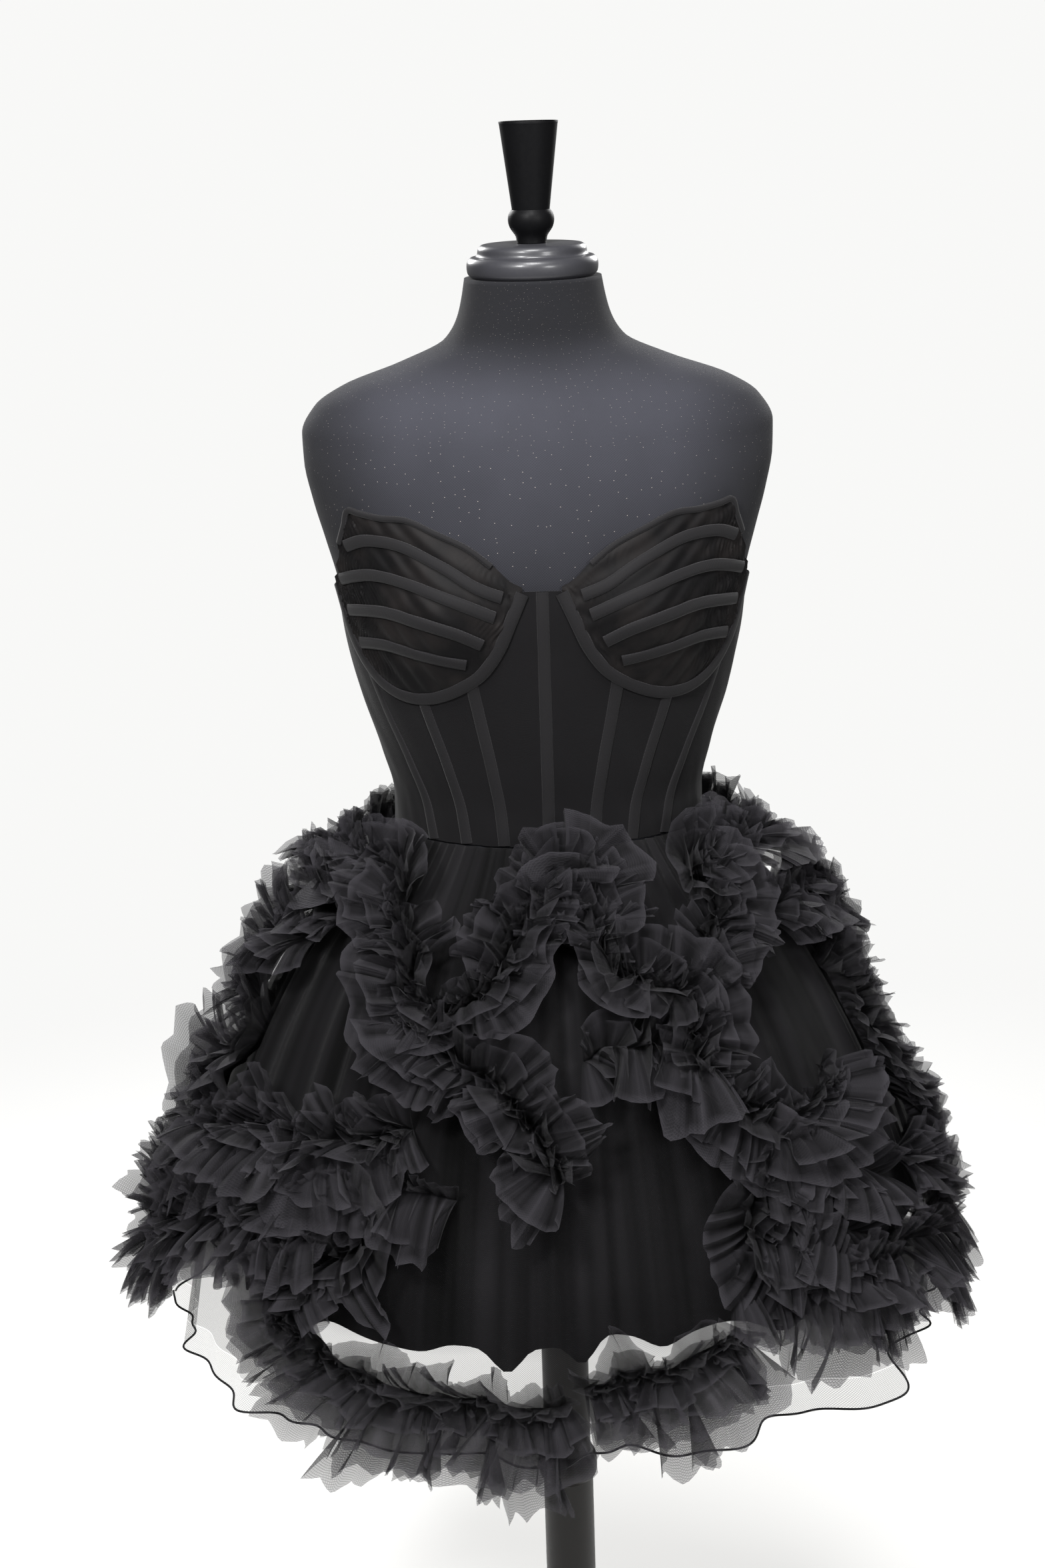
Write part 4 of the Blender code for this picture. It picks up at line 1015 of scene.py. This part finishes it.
# Tape laid along a line on the worn bodice, a little domed, its edges turned down. Also its length and area
def lay_tape(name, line, width, low, dome, material, trim=None):
    angle, height = resample(line, worn_point, count=70).T
    out = normal_of(worn_point, angle, height)
    across = unit(np.cross(out, unit(np.gradient(worn_point(angle, height), axis=0))))
    around = worn_point(angle + 0.5, height) - worn_point(angle - 0.5, height)
    upward = (worn_point(angle, height + 0.001) - worn_point(angle, height - 0.001)) / 0.002
    level = unit(around)
    up = np.cross(out, level)
    columns = []
    for reach, lift in TAPE_SECTION:
        step = across * reach * width / 2
        side_angle = angle + np.sum(step * level, axis=1) / np.linalg.norm(around, axis=1)
        side_height = height + np.sum(step * up, axis=1) / np.linalg.norm(upward, axis=1)
        if trim:
            side_angle, side_height = trim(side_angle, side_height)
        columns.append(moved_out(worn_point, side_angle, side_height, np.full(len(angle), low + dome * lift)))
    points = np.stack(columns, axis=1)
    length = length_of(points[:, len(TAPE_SECTION) // 2])
    return lay_sheet(name, points, (width, length), material, crease=60), length, area_of(points)


# Bone channel's places moved so that it ends just under the wire or the upper edge
def trimmed_bone(angle, height):
    top = panel_top(angle)
    turn = np.abs(angle)
    run = np.linalg.norm(worn_point(turn + 1.0, top) - worn_point(turn - 1.0, top), axis=-1)
    slope = (panel_top(turn + 1.0) - panel_top(turn - 1.0)) / run
    under_wire = (turn > UNDERWIRE[0][0]) & (turn < UNDERWIRE[-1][0])
    reach = np.where(under_wire, (WIRE_WIDTH / 2 - 0.0008) * np.sqrt(1 + slope**2), 0.0012)
    return angle, WAIST + (height - WAIST) * (top[-1] - reach[-1] - WAIST) / (height[-1] - WAIST)


def make_tapes(sizes, colours):
    tape = tape_finish("bone_tape", colours.tape, CHANNEL_WIDTH)
    wire = tape_finish("underwire_tape", colours.tape, WIRE_WIDTH)
    bound = tape_finish("neckline_binding", colours.tape, EDGE_WIDTH)
    neckline = [(a, z - EDGE_WIDTH / 2 + 0.0006) for a, z in NECKLINE[2:-3]]
    jobs = [
        ("underwire_channel", UNDERWIRE, WIRE_WIDTH, TAPE_LOW, 0.0017, wire),
        ("neckline_edge", neckline, EDGE_WIDTH, TAPE_LOW - 0.0002, 0.0017, bound),
    ]
    for k, row in enumerate(CUP_CHANNELS):
        jobs.append((f"cup_channel_{k + 1}", row, CHANNEL_WIDTH, TAPE_LOW + 0.0003, 0.0018, tape))
    for side, word in SIDES:
        for name, rows, width, low, dome, finish in jobs:
            line = [(side * a, z) for a, z in rows]
            sheet, length, area = lay_tape(f"{name}_{word}_tape", line, width, low, dome, finish)
            stand_for(sheet, f"{name}_{word}")
    for seam in SEAMS[:-1]:
        for side, word in SIDES:
            if seam[0] == "under_arm" or (seam[0] == "centre" and side < 0):
                continue
            heights = np.linspace(WAIST + 0.0008, seam_top(seam) - 0.001, 5)
            line = [(side * seam_angle(seam, z), z) for z in heights]
            name = "bone_centre" if seam[0] == "centre" else f"bone_{seam[0]}_{word}"
            low = TAPE_LOW - 0.0009
            sheet, length, _ = lay_tape(f"{name}_tape", line, CHANNEL_WIDTH, low, 0.0013, tape, trimmed_bone)
            stand_for(sheet, name)


# Angles across a panel, short of its seams by half the gap
def panel_angles(first, last, radius, count):
    half = seam_half_gap(radius)
    return np.linspace(first + half, last - half, count)


def make_skirt(sizes, colours):
    net = open_net_finish(
        "skirt_overlay_net", lighter(colours.net, 0.66), holes=760.0, thread=0.30, cover=(0.28, 0.76),
        gloss=(0.75, 0.05), streaks=(34.0, 0.8, 0.9), closed=(0.695, 0.745),
    )
    heights = np.concatenate((np.linspace(SKIRT_HEM, 0.96, 46), np.linspace(0.966, SKIRT_TOP, 24)))
    for name, first, last, count in (
        ("front", -90.0, 90.0, 467), ("back_right", 90.0, 180.0, 233), ("back_left", 180.0, 270.0, 233),
    ):
        points = skirt_point(panel_angles(first, last, WAIST_RADIUS, count)[None, :], heights[:, None])
        lay_piece(f"overlay_{name}", f"skirt_{name}", points, net)


def under_point(angle, height):
    turn = np.radians(angle)
    inset = 0.0013 + 0.0147 * np.minimum(1.0, (WAIST - height) / 0.06)
    soft = 0.004 * np.cos(21 * turn + 1.2 * np.sin(5 * turn)) * ease(height, 1.0, 0.72)
    return moved_out(plain_skirt_point, angle, height, soft - inset)


def make_underskirt(sizes, colours):
    cloth = close_cloth_finish(
        "underskirt_satin", colours.underskirt, threads=1400.0, contrast=0.2, rough=0.55, sheen=0.1, patch=9.0,
    )
    for name, first, last in HALVES:
        angles = panel_angles(first, last, WAIST_RADIUS, 150)
        turn = np.radians(angles)
        wander = 0.005 * np.sin(turn * 5 + 0.7) + 0.003 * np.sin(turn * 17)
        points_down = 0.5 + 0.5 * np.sin(turn * 24 + 1.6 * np.sin(turn * 5))
        hem = UNDER_HEM + wander - 0.020 * points_down**2 * (0.55 + 0.45 * np.sin(turn * 7 + 1.9))
        heights = hem + (SKIRT_TOP - hem) * np.linspace(0, 1, 30)[:, None]
        points = under_point(np.broadcast_to(angles, heights.shape), heights)
        node = f"underskirt_{name}"
        lay_piece(f"{node}_cloth", node, points, cloth)


def make_hem(sizes, colours):
    braid = open_net_finish(
        "horsehair_braid", colours.braid, holes=520.0, thread=0.22, cover=(0.12, 0.80), gloss=(0.5, 0.15),
        streaks=(20.0, 40.0, 0.2),
    )
    cord = close_cloth_finish(
        "hem_cord", colours.braid, threads=2200.0, contrast=0.2, rough=0.6, sheen=0.2, patch=30.0,
    )
    top = SKIRT_HEM - 0.0006
    upright = np.array((0, 0, 1))
    for name, first, last in HALVES:
        angles = panel_angles(first, last, HEM_RADIUS, 440)
        points = skirt_point(angles[None, :], np.linspace(top - BRAID_WIDTH, top, 9)[:, None])
        width, length = flat_size(points)
        sheet = lay_sheet(f"hem_braid_{name}_net", points, (width, length), braid)
        edge = skirt_point(angles, np.full(len(angles), top - BRAID_WIDTH + 0.0006))
        side = unit(np.cross(unit(np.gradient(edge, axis=0)), upright))
        turns = np.linspace(0, 2 * math.pi, 9)
        ring = [edge + CORD_RADIUS * (math.cos(turn) * side + math.sin(turn) * upright) for turn in turns]
        tube = lay_sheet(f"hem_cord_{name}", np.stack(ring, axis=1), (CORD_ROUND, length), cord, closed=True)
        stand_for(sheet, f"hem_braid_{name}")
        stand_for(tube)


# Wave with flat sides and creased turns, as pressed net folds
def crisp(phase):
    return np.arcsin(0.97 * np.sin(phase)) / math.asin(0.97)


# How sharply a gathering line bends and to which side, at each of its points
def bends_of(root, step):
    reach = max(3, round(0.012 / step))
    ahead = unit(np.roll(root, -reach, axis=0) - root)
    behind = unit(root - np.roll(root, reach, axis=0))
    bend = (ahead - behind) / (reach * step)
    bend[:reach] = bend[reach]
    bend[-reach:] = bend[-reach - 1]
    return bend


# One layer of a ruffle: a strip gathered along its middle, whose wings open out in overlapping pleated petals
def ruffle_points(chance, rows, layer, step):
    share, root_slope, tip_slope, pitch, depth, lean, pleat_pitch, pleat_depth = RUFFLE_LAYERS[layer]
    angle, height, left, right = resample(rows, skirt_point, step=step).T
    near = np.minimum(height, SKIRT_TOP)
    out = normal_of(plain_skirt_point, angle, near)
    root = skirt_point(angle, near) + out * ROOT_OUT
    along = distances(root)
    root = root + out * (0.0015 + 0.0012 * drift(chance, along, 0.012))[:, None]
    run = np.gradient(root, axis=0)
    run = unit(run - out * np.sum(run * out, axis=1, keepdims=True))
    bend = bends_of(root, step)
    ends = ease(along, -0.004, 0.010) * ease(along[-1] - along, -0.004, 0.010)
    wings = []
    for side, wing in ((1, left), (-1, right)):
        lie = np.cross(out, run) * side
        down = ease(-lie[:, 2], 0.2, 0.8)
        inside = np.clip(np.sum(bend * lie, axis=1), 0, None)
        length = (wing / 1000 + WING_MORE) * share * (1 + 0.20 * drift(chance, along, 0.030))
        petal, petal_strength = uneven_folds(chance, along, pitch / 1000, 0.4)
        pleat, pleat_strength = uneven_folds(chance, along, pleat_pitch / 1000, 0.35)
        length = length * (1 + 0.05 * drift(chance, along, 0.006) + 0.05 * np.cos(petal) + 0.05 * crisp(pleat))
        length = length * (0.80 + 0.20 * ends) / (1 + length * inside * 0.45)
        rise = math.radians(root_slope) + math.radians(12) * drift(chance, along, 0.026)
        fall = math.radians(tip_slope) + math.radians(22) * drift(chance, along, 0.030)
        fall = fall + math.radians(14) * lie[:, 2] + np.minimum(inside * 0.020, 0.9)
        tilt = math.radians(30) * drift(chance, along, 0.040) + math.radians(12) * drift(chance, along, 0.013)
        hanging = 1 - 0.45 * ease(height, 0.72, 0.66) * down
        hanging = hanging * (1 - 0.65 * ease(angle, 58, 74) * ease(height, 0.73, 0.70) * down)
        # Share from a pleat's valley to its ridge, which paints shade and highlight on the net
        pleat_shading = 0.5 + 0.5 * crisp(pleat) * np.minimum(pleat_strength, 1.0)
        leaning = np.sin(2 * petal) * petal_strength * lean / 1000
        leaning = leaning + np.sin(2 * pleat) * pleat_strength * PLEAT_LEAN
        ahead_by = (length / WING_STEPS)[:, None]
        place = np.zeros_like(root)
        wing_rows = []
        for fraction in WING_SHARES:
            slope = (rise + (fall - rise) * fraction**0.7) * hanging
            level, upward = np.cos(slope)[:, None], np.sin(slope)[:, None]
            if fraction:
                place = place + (lie * level + out * upward + run * np.sin(tilt)[:, None]) * ahead_by
            wide = (np.cos(slope) * 0.8 + np.sin(petal)) * petal_strength * depth / 1000 * fraction
            folded = (crisp(pleat) * pleat_strength + np.cos(slope)) * pleat_depth / 1000 * fraction**0.6
            push = (out * level - lie * upward) * (wide + folded)[:, None]
            points = root + place + push + run * (leaning * fraction)[:, None]
            points = kept_clear(points, RUFFLE_CLEAR + LAYER_RISE * layer) if fraction else points
            wing_rows.append(np.column_stack((points, pleat_shading)))
        wings.append(wing_rows)
    strip = np.stack(wings[1][:0:-1] + [wings[0][0]] + wings[0][1:])
    return strip[..., :3], strip[..., 3]


def make_ruffles(sizes, colours):
    net = open_net_finish(
        "ruffle_tulle", colours.ruffle, holes=700.0, thread=0.34, cover=(0.60, 0.97), gloss=(0.70, 0.045),
        streaks=(130.0, 3.0, 0.6), crush=8.0, edge=4.2,
    )
    shares = np.concatenate((WING_SHARES[:0:-1], WING_SHARES))
    for number, (name, rows) in enumerate({**RUFFLES, **SHORT_RUFFLES}.items()):
        step = sizes.ruffle_step * (BACK_COARSER if "back" in name else 1.0)
        layers = FEWER_LAYERS.get(name, 4 if name in RUFFLES else 3)
        for layer in range(min(sizes.ruffle_layers, layers)):
            chance = np.random.default_rng(100 * number + layer + 7)
            points, pleat_shadings = ruffle_points(chance, rows, layer, step)
            width = float(np.linalg.norm(np.diff(points, axis=0), axis=2).sum(axis=0).mean())
            cut = area_of(points) / width
            strip = lay_sheet(f"{name}_layer_{layer + 1}", points, (cut, width), net)
            columns = points.shape[1]
            # The edge mark rises from the gathers to the wing's cut edge and drives the painted highlight there
            for mark, values in (
                ("edge", np.repeat(ease(shares, 0.93, 1.0) * 0.8 + 0.10 * shares, columns)),
                ("pleat_shading", pleat_shadings.reshape(-1)),
                ("reach", np.repeat(shares**2, columns)),
            ):
                values = np.ascontiguousarray(values, dtype=np.float32)
                strip.data.attributes.new(mark, "FLOAT", "POINT").data.foreach_set("value", values)
            stand_for(strip, *([name] if layer == 0 and name in RUFFLES else []))


def make_stage(sizes, colours):
    bpy.ops.object.select_all(action="DESELECT")
    bpy.ops.mesh.primitive_circle_add(vertices=128, radius=4.0, fill_type="NGON", location=(0, 0, 0))
    floor = bpy.context.active_object
    floor.name = "studio_floor"
    finish_mesh(floor, stage_finish(colours.floor))
    for name, place, target, size, power in LAMPS:
        bpy.ops.object.light_add(type="AREA", location=place)
        lamp = bpy.context.active_object
        lamp.name = f"light_{name}"
        lamp.data.shape = "DISK"
        lamp.data.size = size
        lamp.data.energy = power * sizes.light
        lamp.rotation_euler = (Vector(target) - Vector(place)).to_track_quat("-Z", "Y").to_euler()
    world = bpy.context.scene.world or bpy.data.worlds.new("studio")
    bpy.context.scene.world = world
    world.use_nodes = True
    tree = world.node_tree
    sky = next(node for node in tree.nodes if node.type == "BACKGROUND")
    sky.inputs["Color"].default_value = (0.94, 0.94, 0.93, 1.0)
    rays = tree.nodes.new("ShaderNodeLightPath")
    strength = times(tree, rays.outputs["Is Camera Ray"], 1.0 - ROOM_LIGHT)
    feed(tree, sky.inputs["Strength"], math_node(tree, "ADD", strength, ROOM_LIGHT))
    bpy.context.scene.view_settings.view_transform = "Standard"
    make_camera()


def make_camera():
    ahead = Vector((
        -math.sin(CAMERA_LEFT) * math.cos(CAMERA_DOWN), math.cos(CAMERA_LEFT) * math.cos(CAMERA_DOWN),
        -math.sin(CAMERA_DOWN),
    ))
    right = Vector((math.cos(CAMERA_LEFT), math.sin(CAMERA_LEFT), 0.0))
    up = right.cross(ahead)
    turned_right = right * math.cos(CAMERA_ROLL) - up * math.sin(CAMERA_ROLL)
    turned_up = right * math.sin(CAMERA_ROLL) + up * math.cos(CAMERA_ROLL)
    data = bpy.data.cameras.new("photo_view")
    data.lens = SENSOR * LENS_PIXELS / FRAME_HEIGHT
    data.sensor_fit = "AUTO"
    data.sensor_width = SENSOR
    camera = bpy.data.objects.new("photo_view", data)
    bpy.context.scene.collection.objects.link(camera)
    columns = (turned_right, turned_up, -ahead, Vector(CAMERA_PLACE))
    camera.matrix_world = Matrix([[column[row] for column in columns] for row in range(3)] + [[0, 0, 0, 1]])
    bpy.context.scene.camera = camera


def colour_choice(name, description, default):
    return FloatVectorProperty(
        name=name, description=description, default=default, subtype="COLOR", min=0.0, max=1.0,
    )


class DressSizes(bpy.types.PropertyGroup):
    ruffle_step: FloatProperty(
        name="Ruffle step", description="Distance between a ruffle's columns", default=0.00145, min=0.001,
        max=0.01, subtype="DISTANCE", unit="LENGTH",
    )
    ruffle_layers: IntProperty(
        name="Ruffle layers", description="Most layers of net in a ruffle", default=4, min=1, max=4,
    )
    light: FloatProperty(name="Light", description="Strength of the studio light", default=1.0, min=0.0)


class DressColours(bpy.types.PropertyGroup):
    jersey: colour_choice("Jersey", "Knit of the dress form", (0.0320, 0.0324, 0.0410))
    lacquer: colour_choice("Lacquer", "Neck cap and finial", (0.006, 0.006, 0.007))
    enamel: colour_choice("Enamel", "Pole and base", (0.0060, 0.0052, 0.0042))
    bodice: colour_choice("Bodice", "Close mesh of the bodice", (0.0045, 0.0041, 0.0048))
    cup: colour_choice("Cup", "Ruched net of the cups", (0.0040, 0.0037, 0.0041))
    cup_through: colour_choice("Cup, thin", "Cup net where the light comes through", (0.0120, 0.0102, 0.0100))
    tape: colour_choice("Tape", "Bone channels and cup tapes", (0.0097, 0.0091, 0.0101))
    net: colour_choice("Net", "Skirt net", (0.0085, 0.0080, 0.0090))
    underskirt: colour_choice("Underskirt", "Opaque underskirt", (0.0045, 0.0043, 0.0047))
    braid: colour_choice("Braid", "Stiff hem braid", (0.010, 0.010, 0.011))
    ruffle: colour_choice("Ruffle", "Ruffle net", (0.0108, 0.0102, 0.0118))
    floor: colour_choice("Floor", "Studio floor", (0.92, 0.915, 0.90))


class DressOperator:
    bl_options = {"REGISTER", "UNDO"}

    def execute(self, context):
        self.make(context.scene.dress_sizes, context.scene.dress_colours)
        return {"FINISHED"}


class DRESS_OT_form(DressOperator, bpy.types.Operator):
    """Jersey torso with its neck cap, finial, pole and base"""
    bl_idname = "dress.form"
    bl_label = "Dress form and stand"
    make = staticmethod(make_form)


class DRESS_OT_bodice(DressOperator, bpy.types.Operator):
    """Twelve mesh panels of the bodice"""
    bl_idname = "dress.bodice"
    bl_label = "Bodice panels"
    make = staticmethod(make_bodice)


class DRESS_OT_cups(DressOperator, bpy.types.Operator):
    """Two ruched cups"""
    bl_idname = "dress.cups"
    bl_label = "Cups"
    make = staticmethod(make_cups)


class DRESS_OT_tapes(DressOperator, bpy.types.Operator):
    """Bone channels, cup tapes, underwire channels and neckline edges"""
    bl_idname = "dress.tapes"
    bl_label = "Tapes and channels"
    make = staticmethod(make_tapes)


class DRESS_OT_skirt(DressOperator, bpy.types.Operator):
    """Gathered net skirt in three panels"""
    bl_idname = "dress.skirt"
    bl_label = "Net skirt"
    make = staticmethod(make_skirt)


class DRESS_OT_underskirt(DressOperator, bpy.types.Operator):
    """Opaque underskirt in two panels"""
    bl_idname = "dress.underskirt"
    bl_label = "Underskirt"
    make = staticmethod(make_underskirt)


class DRESS_OT_hem(DressOperator, bpy.types.Operator):
    """Stiff open braid round the hem, with its cord"""
    bl_idname = "dress.hem"
    bl_label = "Hem braid"
    make = staticmethod(make_hem)


class DRESS_OT_ruffles(DressOperator, bpy.types.Operator):
    """Twelve ruffles of net and eight short ones, each gathered along its middle"""
    bl_idname = "dress.ruffles"
    bl_label = "Ruffles"
    make = staticmethod(make_ruffles)


class DRESS_OT_stage(DressOperator, bpy.types.Operator):
    """Pale floor, soft light and the camera"""
    bl_idname = "dress.stage"
    bl_label = "Stage"
    make = staticmethod(make_stage)


STEPS = ("form", "underskirt", "skirt", "hem", "bodice", "cups", "tapes", "ruffles", "stage")


class DRESS_PT_panel(bpy.types.Panel):
    """Sizes, colours and steps of the dress"""
    bl_idname = "DRESS_PT_panel"
    bl_label = "Net mini dress"
    bl_space_type = "VIEW_3D"
    bl_region_type = "UI"
    bl_category = "Dress"

    def draw(self, context):
        for group in (context.scene.dress_sizes, context.scene.dress_colours):
            for key in group.__annotations__:
                self.layout.prop(group, key)
        for step in STEPS:
            self.layout.operator(f"dress.{step}")


CLASSES = (
    DressSizes, DressColours, DRESS_OT_form, DRESS_OT_bodice, DRESS_OT_cups, DRESS_OT_tapes, DRESS_OT_skirt,
    DRESS_OT_underskirt, DRESS_OT_hem, DRESS_OT_ruffles, DRESS_OT_stage, DRESS_PT_panel,
)


def register():
    for kind in CLASSES:
        bpy.utils.register_class(kind)
    bpy.types.Scene.dress_sizes = PointerProperty(type=DressSizes)
    bpy.types.Scene.dress_colours = PointerProperty(type=DressColours)


def unregister():
    del bpy.types.Scene.dress_colours
    del bpy.types.Scene.dress_sizes
    for kind in reversed(CLASSES):
        bpy.utils.unregister_class(kind)


def main():
    register()
    for step in STEPS:
        getattr(bpy.ops.dress, step)()


if __name__ == "__main__":
    main()
